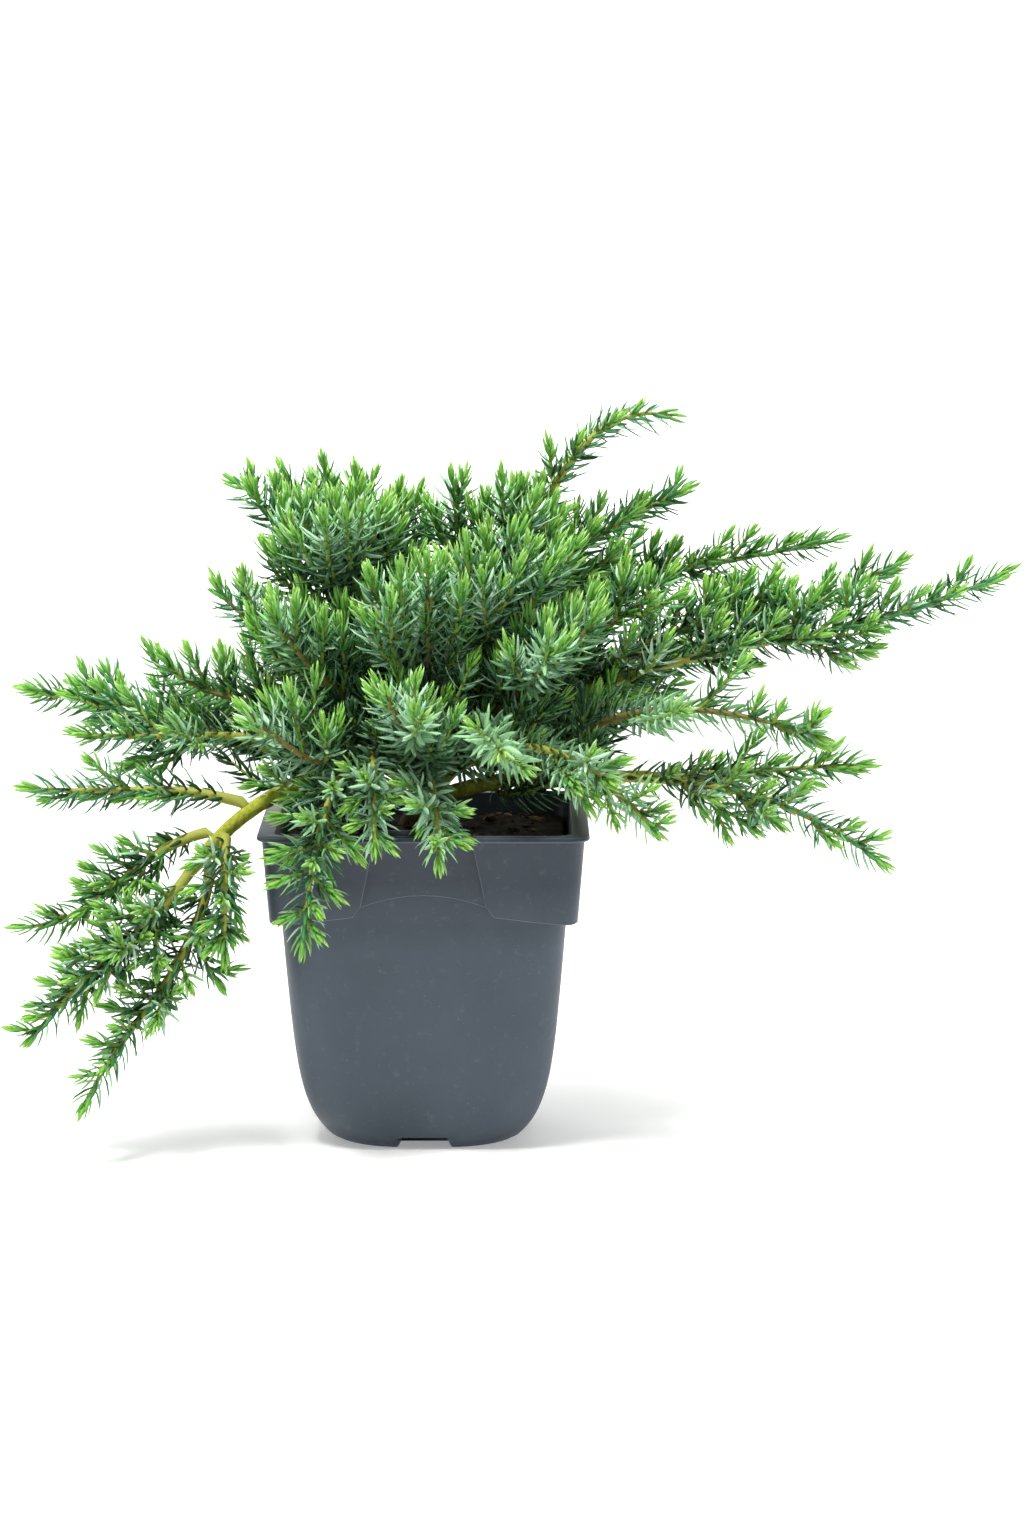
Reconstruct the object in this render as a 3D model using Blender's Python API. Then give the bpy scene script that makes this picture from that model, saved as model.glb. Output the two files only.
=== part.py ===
"""A young flaky juniper of the blue carpet kind in a square nursery pot, 21 cm tall.

Metres, +Z up. The origin is the middle of the pot's flat underside, +X is the side that the
longest shoot points to, and +Y points to the back. Every limb is a cubic curve worked out from
the azimuth, reach, height and rise of its two ends. Every mass of foliage is one stem with
twigs set round it by the golden angle, and each twig is a slim core with some of its needles.
"""

import math
import random

import bmesh
import bpy
from mathutils import Matrix, Vector
from mathutils.kdtree import KDTree

# Pot: rounded square sections. The half width grows as foot + slope * z + bulge * (1 - exp(-z / height)).
POT_HEIGHT = 0.0918
FOOT_HALF = 0.0262
FOOT_EDGE = 0.0012
BODY_SLOPE = 0.077
BODY_BULGE = 0.0087
BODY_BULGE_HEIGHT = 0.010
BODY_CORNER = 0.010
FOOT_CORNER_EXTRA = 0.010
FOOT_CORNER_HEIGHT = 0.020
WALL = 0.0013
FLOOR_TOP = 0.0050

# Pot collar: four corner blocks that stand proud, and a lower panel between each pair of them
COLLAR_BOTTOM = 0.0655
COLLAR_TOP = 0.0908
COLLAR_HALF_BOTTOM = 0.0430
COLLAR_HALF_TOP = 0.0450
COLLAR_CORNER = 0.0060
BLOCK_EDGE_HEIGHT = 0.0700
PANEL_HALF_WIDTH_TOP = 0.0127
PANEL_HALF_WIDTH_BOTTOM = 0.0175
PANEL_HALF_BOTTOM = 0.0415
PANEL_HALF_TOP = 0.0431
ARCH_FOOT = 0.0716
ARCH_CROWN = 0.0750
LIP_HALF = 0.0464
LIP_BOTTOM = 0.0903
TAB_HALF_WIDTH = 0.0125
TAB_TOP = 0.0936
TAB_THICK = 0.0010

# Drainage recess under the middle of each side
RECESS_HEIGHT = 0.0033
RECESS_HALF_WIDTH_BOTTOM = 0.0077
RECESS_HALF_WIDTH_TOP = 0.0063
RECESS_DEPTH = 0.0090

# Potting mix and trunk
SOIL_EDGE = 0.0858
SOIL_CROWN = 0.0885
GAP = 0.0004
TRUNK_HEIGHT = 0.0270
TRUNK_LEAN = 0.0030
TRUNK_FLARE = 0.0085
FLARE_SHARE = 0.3
TRUNK_RADIUS = 0.0056
TRUNK_TOP_RADIUS = 0.0042

# Growth rule
GOLDEN_ANGLE = math.radians(137.5)
HANDLE = 0.38
TWIG_SPACING = 0.0178
TWIG_ANGLE_BASE = math.radians(64)
TWIG_ANGLE_TIP = math.radians(38)
TWIG_LIFT = 0.35
WHORL_TURN = math.radians(40)
CORE_SHARE = 0.62
CORE_SIZES = (1.2, 1.0, 0.8, 0.6, 0.4, 0.2)
CORE_STRETCH = 1.6
CORE_NEEDLE_SHARE = 0.32
CORE_NEEDLE_LEAN = 0.7
DENSE_TWIG_SPACING = 0.0280
TWIG_CORE = 0.0012
STEM_CORE_TIP = 0.0010
CORE_TIP_SHARE = 0.22
NEEDLE_LENGTH = 0.0105
NEEDLE_ANGLE = math.radians(44)
NEEDLE_SPACING = 0.0070
STEM_NEEDLE_SPACING = 0.0200
WHORL_WIDTH = 0.0070
BARE_TWIG_SHARE = 0.28
JOINT_SHARE = 0.03
BARE_STEM_SHARE = 0.34
SPACE_MARGIN = 0.0014
SITE_STEP = 0.0030
WELD = 2e-7
PLANT_TOP = 0.2100

# Where each bough leaves the trunk (share of its height) and the azimuth, reach, height and rise of
# its end. Angles are in degrees: azimuth 0 is +X and 90 is +Y.
BOUGHS = {
    "leader": dict(leaves=1.0, azimuth=24, reach=0.0240, height=0.1480, rises=(80, 68), radii=(0.0030, 0.0021)),
    "right": dict(leaves=0.70, azimuth=2, reach=0.0640, height=0.1330, rises=(42, 16), radii=(0.0023, 0.0017)),
    "right_upper": dict(leaves=0.93, azimuth=38, reach=0.0430, height=0.1380, rises=(52, 40), radii=(0.0021, 0.0016)),
    "right_low": dict(leaves=0.34, azimuth=345, reach=0.0660, height=0.1050, rises=(20, 3), radii=(0.0023, 0.0017)),
    "front_right": dict(leaves=0.58, azimuth=306, reach=0.0420, height=0.1150, rises=(40, 14), radii=(0.0022, 0.0017)),
    "front": dict(leaves=0.46, azimuth=268, reach=0.0360, height=0.1130, rises=(40, 18), radii=(0.0021, 0.0016)),
    "front_left": dict(leaves=0.66, azimuth=236, reach=0.0440, height=0.1120, rises=(38, 2), radii=(0.0022, 0.0017)),
    "left_low": dict(leaves=0.26, azimuth=208, reach=0.0735, height=0.0810, rises=(40, -50), radii=(0.0025, 0.0019)),
    "left": dict(leaves=0.54, azimuth=182, reach=0.0500, height=0.1120, rises=(28, 10), radii=(0.0023, 0.0017)),
    "crest_left": dict(leaves=0.90, azimuth=184, reach=0.0290, height=0.1420, rises=(56, 62), radii=(0.0022, 0.0017)),
    "crest_back": dict(leaves=0.82, azimuth=116, reach=0.0300, height=0.1400, rises=(58, 58), radii=(0.0022, 0.0017)),
    "back_right": dict(leaves=0.46, azimuth=50, reach=0.0520, height=0.1140, rises=(34, 12), radii=(0.0023, 0.0017)),
    "back": dict(leaves=0.62, azimuth=84, reach=0.0500, height=0.1170, rises=(38, 12), radii=(0.0023, 0.0017)),
    "back_left": dict(leaves=0.40, azimuth=148, reach=0.0520, height=0.1110, rises=(30, 10), radii=(0.0023, 0.0017)),
}

# Each mass of foliage: its bough (or the trunk), the share along it where the stem is set, the
# tip, the rise at both ends and the length of its longest twigs. A dense mass has a core.
MASSES = {
    "leader": dict(bough="leader", at=1.0, azimuth=8, reach=0.0710, height=0.2050, rises=(80, -12), twig=0.014),
    "crest_top_right": dict(bough="leader", at=0.55, azimuth=350, reach=0.0270, height=0.1860, rises=(70, 84), twig=0.034, dense=0.0093),
    "crest_front_right": dict(bough="leader", at=0.22, azimuth=312, reach=0.0370, height=0.1760, rises=(52, 76), twig=0.034, dense=0.0093),
    "right_top": dict(bough="leader", at=0.78, azimuth=22, reach=0.0820, height=0.1830, rises=(52, 20), twig=0.020),
    "right_long": dict(bough="right", at=1.0, azimuth=3, reach=0.1660, height=0.1605, rises=(12, 27), twig=0.020),
    "right_fork": dict(bough="right", at=0.80, azimuth=10, reach=0.1400, height=0.1625, rises=(34, 30), twig=0.018),
    "right_upper": dict(bough="right_upper", at=1.0, azimuth=16, reach=0.1240, height=0.1675, rises=(38, 14), twig=0.018),
    "right_shoulder": dict(bough="right", at=0.46, azimuth=358, reach=0.0700, height=0.1620, rises=(62, 56), twig=0.030, dense=0.0081),
    "right_back": dict(bough="right_upper", at=0.62, azimuth=34, reach=0.0740, height=0.1680, rises=(58, 52), twig=0.030, dense=0.0081),
    "right_low": dict(bough="right_low", at=1.0, azimuth=352, reach=0.1260, height=0.1085, rises=(3, 2), twig=0.016),
    "right_drooping": dict(bough="right_low", at=0.80, azimuth=341, reach=0.1350, height=0.0845, rises=(2, -34), twig=0.020),
    "right_front": dict(bough="right_low", at=0.50, azimuth=338, reach=0.1180, height=0.1200, rises=(46, -14), twig=0.030, dense=0.0068),
    "right_corner": dict(bough="right_low", at=0.40, azimuth=322, reach=0.0820, height=0.0940, rises=(22, -36), twig=0.022),
    "front_star": dict(bough="front_right", at=1.0, azimuth=307, reach=0.0860, height=0.1110, rises=(14, -12), twig=0.022),
    "front_mid": dict(bough="front_right", at=0.72, azimuth=287, reach=0.0750, height=0.1190, rises=(30, -4), twig=0.028, dense=0.0062),
    "front_right_high": dict(bough="front_right", at=0.52, azimuth=318, reach=0.0640, height=0.1540, rises=(60, 62), twig=0.032, dense=0.0087),
    "front_centre": dict(bough="front", at=1.0, azimuth=262, reach=0.0670, height=0.1350, rises=(30, 46), twig=0.028, dense=0.0068),
    "front_hanging": dict(bough="front", at=0.82, azimuth=274, reach=0.0690, height=0.0880, rises=(0, -55), twig=0.018),
    "crest_front": dict(bough="trunk", at=0.84, azimuth=272, reach=0.0420, height=0.1660, rises=(52, 74), twig=0.034, dense=0.0093),
    "front_left": dict(bough="front_left", at=1.0, azimuth=229, reach=0.0740, height=0.1290, rises=(6, 40), twig=0.030, dense=0.0074),
    "front_left_high": dict(bough="front_left", at=0.56, azimuth=226, reach=0.0600, height=0.1560, rises=(62, 66), twig=0.032, dense=0.0087),
    "corner_hanging": dict(bough="front_left", at=0.86, azimuth=243, reach=0.0720, height=0.0640, rises=(-6, -78), twig=0.017),
    "front_low": dict(bough="front_left", at=0.68, azimuth=259, reach=0.0670, height=0.0920, rises=(4, -44), twig=0.017),
    "side_hanging": dict(bough="left_low", at=0.84, azimuth=222, reach=0.0740, height=0.0590, rises=(-20, -80), twig=0.014),
    "left_low": dict(bough="left_low", at=0.86, azimuth=197, reach=0.1180, height=0.0650, rises=(-12, 2), twig=0.013),
    "left_hanging": dict(bough="left_low", at=1.0, azimuth=202, reach=0.1180, height=0.0350, rises=(-50, -50), twig=0.018),
    "left_hanging_inner": dict(bough="left_low", at=0.94, azimuth=209, reach=0.1080, height=0.0170, rises=(-84, -60), twig=0.018),
    "left_mid": dict(bough="left_low", at=0.70, azimuth=193, reach=0.1140, height=0.1030, rises=(16, 6), twig=0.018),
    "left_long": dict(bough="left", at=1.0, azimuth=175, reach=0.1150, height=0.1265, rises=(10, 6), twig=0.020),
    "left_second": dict(bough="left", at=0.80, azimuth=192, reach=0.1000, height=0.1180, rises=(14, 10), twig=0.022),
    "left_shoulder": dict(bough="left", at=0.60, azimuth=184, reach=0.0740, height=0.1370, rises=(52, 56), twig=0.030, dense=0.0074),
    "crest_left_low": dict(bough="crest_left", at=0.36, azimuth=196, reach=0.0600, height=0.1580, rises=(44, 54), twig=0.030, dense=0.0081),
    "crest_left_top": dict(bough="crest_left", at=1.0, azimuth=168, reach=0.0560, height=0.1860, rises=(58, 22), twig=0.022, dense=0.0081),
    "crest_top_left": dict(bough="crest_left", at=0.72, azimuth=214, reach=0.0250, height=0.1840, rises=(72, 84), twig=0.034, dense=0.0093),
    "crest_back_left": dict(bough="crest_back", at=0.66, azimuth=146, reach=0.0500, height=0.1880, rises=(66, 62), twig=0.032, dense=0.0087),
    "crest_back": dict(bough="crest_back", at=1.0, azimuth=94, reach=0.0480, height=0.1780, rises=(58, 56), twig=0.034, dense=0.0093),
    "back_right_long": dict(bough="back_right", at=1.0, azimuth=38, reach=0.1180, height=0.1330, rises=(12, 14), twig=0.026),
    "back_right_high": dict(bough="back_right", at=0.56, azimuth=56, reach=0.0700, height=0.1560, rises=(58, 58), twig=0.034, dense=0.0093),
    "back_right_low": dict(bough="back_right", at=0.76, azimuth=64, reach=0.1060, height=0.0960, rises=(8, -22), twig=0.022),
    "back_long": dict(bough="back", at=1.0, azimuth=90, reach=0.1140, height=0.1260, rises=(12, 10), twig=0.026),
    "back_high": dict(bough="back", at=0.58, azimuth=102, reach=0.0720, height=0.1480, rises=(54, 56), twig=0.032, dense=0.0087),
    "back_drooping": dict(bough="back", at=0.78, azimuth=112, reach=0.1020, height=0.0900, rises=(8, -30), twig=0.020),
    "back_left_long": dict(bough="back_left", at=1.0, azimuth=152, reach=0.1160, height=0.1220, rises=(10, 12), twig=0.026),
}

COLOURS = {
    "pot": ((0.075, 0.090, 0.105), 0.55),
    "soil": ((0.030, 0.018, 0.011), 0.95),
    "bark": ((0.150, 0.080, 0.040), 0.85),
    "young_stem": ((0.330, 0.360, 0.060), 0.60),
    "foliage": ((0.110, 0.270, 0.170), 0.60),
}


def material(name):
    """The Principled material of that name, made once."""
    found = bpy.data.materials.get(name)
    if found:
        return found
    made = bpy.data.materials.new(name)
    made.use_nodes = True
    colour, roughness = COLOURS[name]
    shader = made.node_tree.nodes["Principled BSDF"]
    shader.inputs["Base Color"].default_value = (*colour, 1.0)
    shader.inputs["Roughness"].default_value = roughness
    shader.inputs["Metallic"].default_value = 0.0
    return made


def mesh_object(name, mesh, collection, colour=None):
    """An object for the mesh, in the collection, with its material."""
    made = bpy.data.objects.new(name, mesh)
    collection.objects.link(made)
    if colour:
        mesh.materials.clear()
        mesh.materials.append(material(colour))
    return made


def direction(azimuth, rise):
    """The unit vector of that azimuth and rise, in radians."""
    level = math.cos(rise)
    return Vector((level * math.cos(azimuth), level * math.sin(azimuth), math.sin(rise)))


def mix(a, b, share):
    return a + (b - a) * share


class Limb:
    """A round limb on a cubic curve, which leaves its start at one rise and arrives at another."""

    def __init__(self, start, tip, rises, radii):
        across = tip - start
        heading = math.atan2(across.y, across.x)
        rise_start, rise_end = (math.radians(r) for r in rises)
        pull = across.length * HANDLE
        first = start + direction(heading, rise_start) * pull
        second = tip - direction(heading, rise_end) * pull
        self.controls = (start, first, second, tip)
        self.radii = radii

    def point(self, share):
        a, b, c, d = self.controls
        rest = 1.0 - share
        return a * rest**3 + b * (3 * rest**2 * share) + c * (3 * rest * share**2) + d * share**3

    def tangent(self, share):
        a, b, c, d = self.controls
        rest = 1.0 - share
        along = (b - a) * rest**2 + (c - b) * (2 * rest * share) + (d - c) * share**2
        return along.normalized()

    def radius(self, share):
        return mix(*self.radii, share)

    def length(self, steps=16):
        points = [self.point(i / steps) for i in range(steps + 1)]
        return sum((b - a).length for a, b in zip(points, points[1:]))

    def share_near(self, point, steps=24):
        """The share along the limb that comes nearest to a point."""
        return min((i / steps for i in range(steps + 1)), key=lambda share: (self.point(share) - point).length)

    def samples(self, step):
        """Points along the limb, about step apart."""
        count = max(2, round(self.length() / step))
        return [(self.point(i / count), self.radius(i / count)) for i in range(count + 1)]


def tip_of(spec):
    out = direction(math.radians(spec["azimuth"]), 0.0) * spec["reach"]
    return out + Vector((0.0, 0.0, spec["height"]))


def set_on(carrier, at, tip, rises, radii):
    """A limb whose flat root stands GAP clear of the limb that carries it, at its end or on its side."""
    base, along = carrier.point(at), carrier.tangent(at)
    if at == 1.0:
        start = base + along * GAP
        limb = Limb(start, tip, rises, radii)
        limb.controls = (start, start + along * (tip - start).length * HANDLE, *limb.controls[2:])
        return limb
    across = tip - base
    leaving = direction(math.atan2(across.y, across.x), math.radians(rises[0]))
    side = (leaving - along * leaving.dot(along)).normalized()
    tilt = abs(leaving.dot(along))
    start = base + side * (carrier.radius(at) + GAP + radii[0] * tilt)
    return Limb(start, tip, rises, radii)


def trunk_limb():
    foot = Vector((0.0, 0.0, SOIL_CROWN + GAP))
    top = foot + Vector((TRUNK_LEAN, 0.0, TRUNK_HEIGHT))
    return Limb(foot, top, (90, 80), (TRUNK_RADIUS, TRUNK_TOP_RADIUS))


def all_limbs():
    """The trunk, the boughs and the stem of each mass, by name."""
    trunk = trunk_limb()
    boughs = {"trunk": trunk}
    for name, spec in BOUGHS.items():
        boughs[name] = set_on(trunk, spec["leaves"], tip_of(spec), spec["rises"], spec["radii"])
    stems = {}
    for name, spec in MASSES.items():
        carrier = boughs[spec["bough"]]
        root = min(carrier.radius(spec["at"]) * 0.85, 0.0019)
        stems[name] = set_on(carrier, spec["at"], tip_of(spec), spec["rises"], (root, STEM_CORE_TIP))
    return trunk, boughs, stems


class Space:
    """The room that one mass keeps to: nearer its own stem than any other, clear of limbs and pot."""

    def __init__(self, name, boughs, stems):
        self.own = self.tree([p for p, _ in stems[name].samples(SITE_STEP)])
        others = [p for n, s in stems.items() if n != name for p, _ in s.samples(SITE_STEP)]
        self.others = self.tree(others)
        wood = [sample for limb in boughs.values() for sample in limb.samples(SITE_STEP / 2)]
        self.wood_radii = [radius for _, radius in wood]
        self.wood = self.tree([point for point, _ in wood])

    @staticmethod
    def tree(points):
        made = KDTree(len(points))
        for i, point in enumerate(points):
            made.insert(point, i)
        made.balance()
        return made

    def holds(self, point, thickness, margin=SPACE_MARGIN):
        """Whether a ball of that radius stays in the space."""
        own, other = self.own.find(point)[2], self.others.find(point)[2]
        if other - own < margin + 2 * thickness or point.z + thickness > PLANT_TOP:
            return False
        _, index, distance = self.wood.find(point)
        if distance < self.wood_radii[index] + thickness + 2 * GAP:
            return False
        return clear_of_pot(point, thickness)


def clear_of_pot(point, thickness):
    room = thickness + 2 * GAP
    inside = max(abs(point.x), abs(point.y)) < LIP_HALF + room
    if inside and point.z < TAB_TOP + room:
        return max(abs(point.x), abs(point.y)) < PANEL_HALF_BOTTOM - room and point.z > SOIL_CROWN + room
    return point.z > room


def frame_at(along):
    """Two unit vectors square to a direction, the first as level as can be."""
    side = along.cross(Vector((0.0, 0.0, 1.0)))
    if side.length < 1e-4:
        side = Vector((1.0, 0.0, 0.0))
    side.normalize()
    return side, side.cross(along).normalized()


def twig_limb(stem, share, roll, length, radii, lift=TWIG_LIFT):
    """A twig that leaves the stem at that share and roll, and turns up and outward as it grows."""
    along = stem.tangent(share)
    side, up = frame_at(along)
    angle = mix(TWIG_ANGLE_BASE, TWIG_ANGLE_TIP, share)
    out = along * math.cos(angle) + (side * math.cos(roll) + up * math.sin(roll)) * math.sin(angle)
    start = stem.point(share)
    turned = (out + along * 0.25 + Vector((0.0, 0.0, lift))).normalized()
    twig = Limb(start, start + turned * length, (0, 0), radii)
    pull = length * HANDLE
    twig.controls = (start, start + out * pull, start + turned * (length - pull * 0.9), start + turned * length)
    return twig


def twig_length(share, longest):
    """Twigs are longest at a third of the stem and shorten to its tip."""
    return longest * (0.72 + 0.28 * math.sin(math.pi * min(1.0, share * 1.5))) * (1.0 - 0.55 * share**3)


def grown_twigs(name, stem, spec, space):
    """The twigs of a mass that fit its space, as limbs."""
    seeded = random.Random(name)
    spacing = DENSE_TWIG_SPACING if "dense" in spec else TWIG_SPACING
    count = max(2, round(stem.length() / spacing))
    roll = seeded.uniform(0.0, 2 * math.pi)
    twigs = []
    for i in range(count):
        share = mix(0.22, 0.93, (i + seeded.uniform(0.2, 0.8)) / count)
        roll += GOLDEN_ANGLE
        length = twig_length(share, spec["twig"]) * seeded.uniform(0.88, 1.08)
        core = min(TWIG_CORE, stem.radius(share) * 0.95)
        for shorter in (1.0, 0.8, 0.62):
            twig = twig_limb(stem, share, roll, length * shorter, (core, core * CORE_TIP_SHARE))
            ahead = (twig.point(1.0) - stem.point(1.0)).dot(stem.tangent(1.0))
            if ahead < 0.0 and all(space.holds(twig.point(s), twig.radius(s)) for s in (0.35, 0.6, 0.8, 1.0)):
                twigs.append(twig)
                break
    return twigs


def section_curve(sides):
    """A regular polygon of unit radius, to be swept along a limb."""
    curve = bpy.data.curves.new("section", "CURVE")
    spline = curve.splines.new("POLY")
    spline.points.add(sides - 1)
    for i, point in enumerate(spline.points):
        angle = 2 * math.pi * i / sides
        point.co = (math.cos(angle), math.sin(angle), 0.0, 1.0)
    spline.use_cyclic_u = True
    section = bpy.data.objects.new("section", curve)
    bpy.context.scene.collection.objects.link(section)
    return section


def limb_mesh(name, limb, shares, sides, turn=0.0, radii=None):
    """A closed mesh of the limb, swept through the given shares, each ring turned from the last."""
    section = section_curve(sides)
    curve = bpy.data.curves.new(name, "CURVE")
    curve.dimensions = "3D"
    curve.twist_mode = "MINIMUM"
    curve.bevel_mode = "OBJECT"
    curve.bevel_object = section
    curve.use_fill_caps = True
    spline = curve.splines.new("POLY")
    spline.points.add(len(shares) - 1)
    for i, (share, point) in enumerate(zip(shares, spline.points)):
        point.co = (*limb.point(share), 1.0)
        point.radius = radii[i] if radii else limb.radius(share)
        point.tilt = turn * i
    carrier = bpy.data.objects.new(name, curve)
    bpy.context.scene.collection.objects.link(carrier)
    bpy.context.view_layer.update()
    evaluated = carrier.evaluated_get(bpy.context.evaluated_depsgraph_get())
    mesh = bpy.data.meshes.new_from_object(evaluated)
    for used in (carrier, section):
        bpy.data.objects.remove(used)
    solid = bmesh.new()
    solid.from_mesh(mesh)
    bmesh.ops.remove_doubles(solid, verts=solid.verts, dist=1e-6)
    bmesh.ops.recalc_face_normals(solid, faces=solid.faces)
    solid.to_mesh(mesh)
    solid.free()
    mesh.name = name
    return mesh


def even_shares(limb, step, least):
    """Shares along a limb, about step apart, with a short one at each end so that its cut is square."""
    count = max(least, round(limb.length() / step))
    return [0.0, JOINT_SHARE] + [i / count for i in range(1, count)] + [1.0 - JOINT_SHARE, 1.0]


def draw_out(solid, face, out, length, space):
    """Draws a needle out of a face, if it stays in the space."""
    root = face.calc_center_median()
    tip = root + out.normalized() * length
    if space.holds(tip, 0.0002) and space.holds((root + tip) / 2, 0.0006):
        poked = bmesh.ops.poke(solid, faces=[face])
        poked["verts"][0].co = tip


def twig_shares(twig):
    """A bare root, then rings that all bear needles."""
    rings = max(2, round(twig.length() * (1.0 - BARE_TWIG_SHARE) / NEEDLE_SPACING))
    return [0.0] + [mix(BARE_TWIG_SHARE, 1.0, i / rings) for i in range(rings + 1)]


def stem_shares(stem):
    """A square cut root, a bare stretch, then short rings of needles with bare ones between them."""
    whorls = max(2, round(stem.length() * (1.0 - BARE_STEM_SHARE) / STEM_NEEDLE_SPACING))
    short = WHORL_WIDTH / stem.length()
    ends = [mix(BARE_STEM_SHARE, 1.0, (i + 1) / whorls) for i in range(whorls)]
    return [0.0, JOINT_SHARE] + [share for end in ends for share in (end - short, end)]


def spray_mesh(name, limb, shares, bare, space, seeded):
    """A three-sided core with a whorl of three needles drawn out of its short rings past the bare share."""
    mesh = limb_mesh(name, limb, shares, 3, WHORL_TURN)
    widest = WHORL_WIDTH * 1.2 / limb.length()
    short = [(low + high) / 2 for low, high in zip(shares, shares[1:]) if high - low < widest]
    solid = bmesh.new()
    solid.from_mesh(mesh)
    for face in list(solid.faces):
        root = face.calc_center_median()
        share = limb.share_near(root)
        length = NEEDLE_LENGTH * seeded.uniform(0.85, 1.1)
        along = limb.tangent(share)
        bears = any(abs(share - middle) < widest / 2 for middle in short)
        if len(face.verts) == 4 and share > bare and bears:
            across = (root - limb.point(share)).normalized()
            out = along * math.cos(NEEDLE_ANGLE) + across * math.sin(NEEDLE_ANGLE)
            draw_out(solid, face, out, length, space)
        elif len(face.verts) == 3 and share == 1.0:
            draw_out(solid, face, along, length * 0.6, space)
    solid.to_mesh(mesh)
    solid.free()
    return mesh


def core_mesh(name, radius, stem, space, seeded):
    """The leafy core of a dense mass: an icosphere drawn out along the stem, with needles out of its faces."""
    centre, along = stem.point(CORE_SHARE), stem.tangent(CORE_SHARE)
    solid = bmesh.new()
    bmesh.ops.create_icosphere(solid, subdivisions=2, radius=radius)
    turn = along.to_track_quat("Z", "Y").to_matrix().to_4x4()
    stretch = Matrix.Diagonal((1.0, 1.0, CORE_STRETCH, 1.0))
    bmesh.ops.transform(solid, matrix=Matrix.Translation(centre) @ turn @ stretch, verts=solid.verts)
    if not all(space.holds(vertex.co, 0.0) for vertex in solid.verts):
        solid.free()
        return None
    for face in list(solid.faces):
        if seeded.random() < CORE_NEEDLE_SHARE:
            out = face.normal + along * CORE_NEEDLE_LEAN
            draw_out(solid, face, out, NEEDLE_LENGTH * seeded.uniform(0.7, 1.0), space)
    mesh = bpy.data.meshes.new(name)
    solid.to_mesh(mesh)
    solid.free()
    return mesh


def largest_body(mesh):
    """Keeps the body that encloses most, so sealed hollows and loose scraps go."""
    solid = bmesh.new()
    solid.from_mesh(mesh)
    bmesh.ops.remove_doubles(solid, verts=solid.verts, dist=WELD)
    bmesh.ops.triangulate(solid, faces=solid.faces)
    left, bodies = set(solid.faces), []
    while left:
        body, front = set(), [left.pop()]
        while front:
            face = front.pop()
            body.add(face)
            pairs = [edge.link_faces for edge in face.edges if len(edge.link_faces) == 2]
            near = {other for pair in pairs for other in pair if other in left}
            left -= near
            front.extend(near)
        volume = sum(f.verts[0].co.dot(f.verts[1].co.cross(f.verts[2].co)) for f in body)
        bodies.append((volume, body))
    keep = max(bodies, key=lambda found: found[0])[1]
    bmesh.ops.delete(solid, geom=[face for face in solid.faces if face not in keep], context="FACES")
    solid.to_mesh(mesh)
    solid.free()


def is_closed(mesh):
    """Whether each edge has two faces."""
    solid = bmesh.new()
    solid.from_mesh(mesh)
    closed = len(solid.faces) > 0 and all(len(edge.link_faces) == 2 for edge in solid.edges)
    solid.free()
    return closed


def union_of(name, meshes, collection, solver):
    """One mesh from overlapping ones, by a single Boolean union on a collection."""
    pieces = bpy.data.collections.new(name + "_pieces")
    bpy.context.scene.collection.children.link(pieces)
    for i, mesh in enumerate(meshes[1:]):
        mesh_object(f"{name}_piece_{i}", mesh, pieces)
    whole = mesh_object(name, meshes[0], collection)
    union = whole.modifiers.new("union", "BOOLEAN")
    union.operation = "UNION"
    union.operand_type = "COLLECTION"
    union.collection = pieces
    union.solver = solver
    bpy.context.view_layer.update()
    evaluated = whole.evaluated_get(bpy.context.evaluated_depsgraph_get())
    mesh = bpy.data.meshes.new_from_object(evaluated)
    for used in [whole, *pieces.objects]:
        bpy.data.objects.remove(used)
    bpy.data.collections.remove(pieces)
    largest_body(mesh)
    mesh.name = name
    return mesh


def joined(name, meshes, collection, colour):
    """One solid from all the meshes. One that fails with both solvers does without its last spray."""
    while True:
        for solver in ("EXACT", "MANIFOLD"):
            mesh = union_of(name, meshes, collection, solver)
            if is_closed(mesh):
                return mesh_object(name, mesh, collection, colour)
        meshes = meshes[:-1]


def foliage(name, spec, stems, boughs, collection):
    """One mass: a stem, its twigs and some needles on each, with a core where it is dense."""
    stem = stems[name]
    space = Space(name, boughs, stems)
    seeded = random.Random(name + " needles")
    node = "foliage_" + name
    meshes = [spray_mesh(node, stem, stem_shares(stem), BARE_STEM_SHARE, space, seeded)]
    if "dense" in spec:
        sizes = (core_mesh(node, spec["dense"] * share, stem, space, seeded) for share in CORE_SIZES)
        meshes += [next(filter(None, sizes))]
    for twig in grown_twigs(name, stem, spec, space):
        meshes.append(spray_mesh(node, twig, twig_shares(twig), BARE_TWIG_SHARE, space, seeded))
    return joined(node, meshes, collection, "foliage")


def rounded_square(half, corner, steps):
    """The corners of a rounded square, anticlockwise, with steps segments in each corner."""
    points = []
    for quarter in range(4):
        turn = quarter * math.pi / 2
        for i in range(steps + 1):
            angle = turn + i / steps * math.pi / 2
            centre = math.pi / 4 + turn
            spread = (half - corner) * math.sqrt(2)
            x = spread * math.cos(centre) + corner * math.cos(angle)
            y = spread * math.sin(centre) + corner * math.sin(angle)
            points.append((x, y))
    return points


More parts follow.
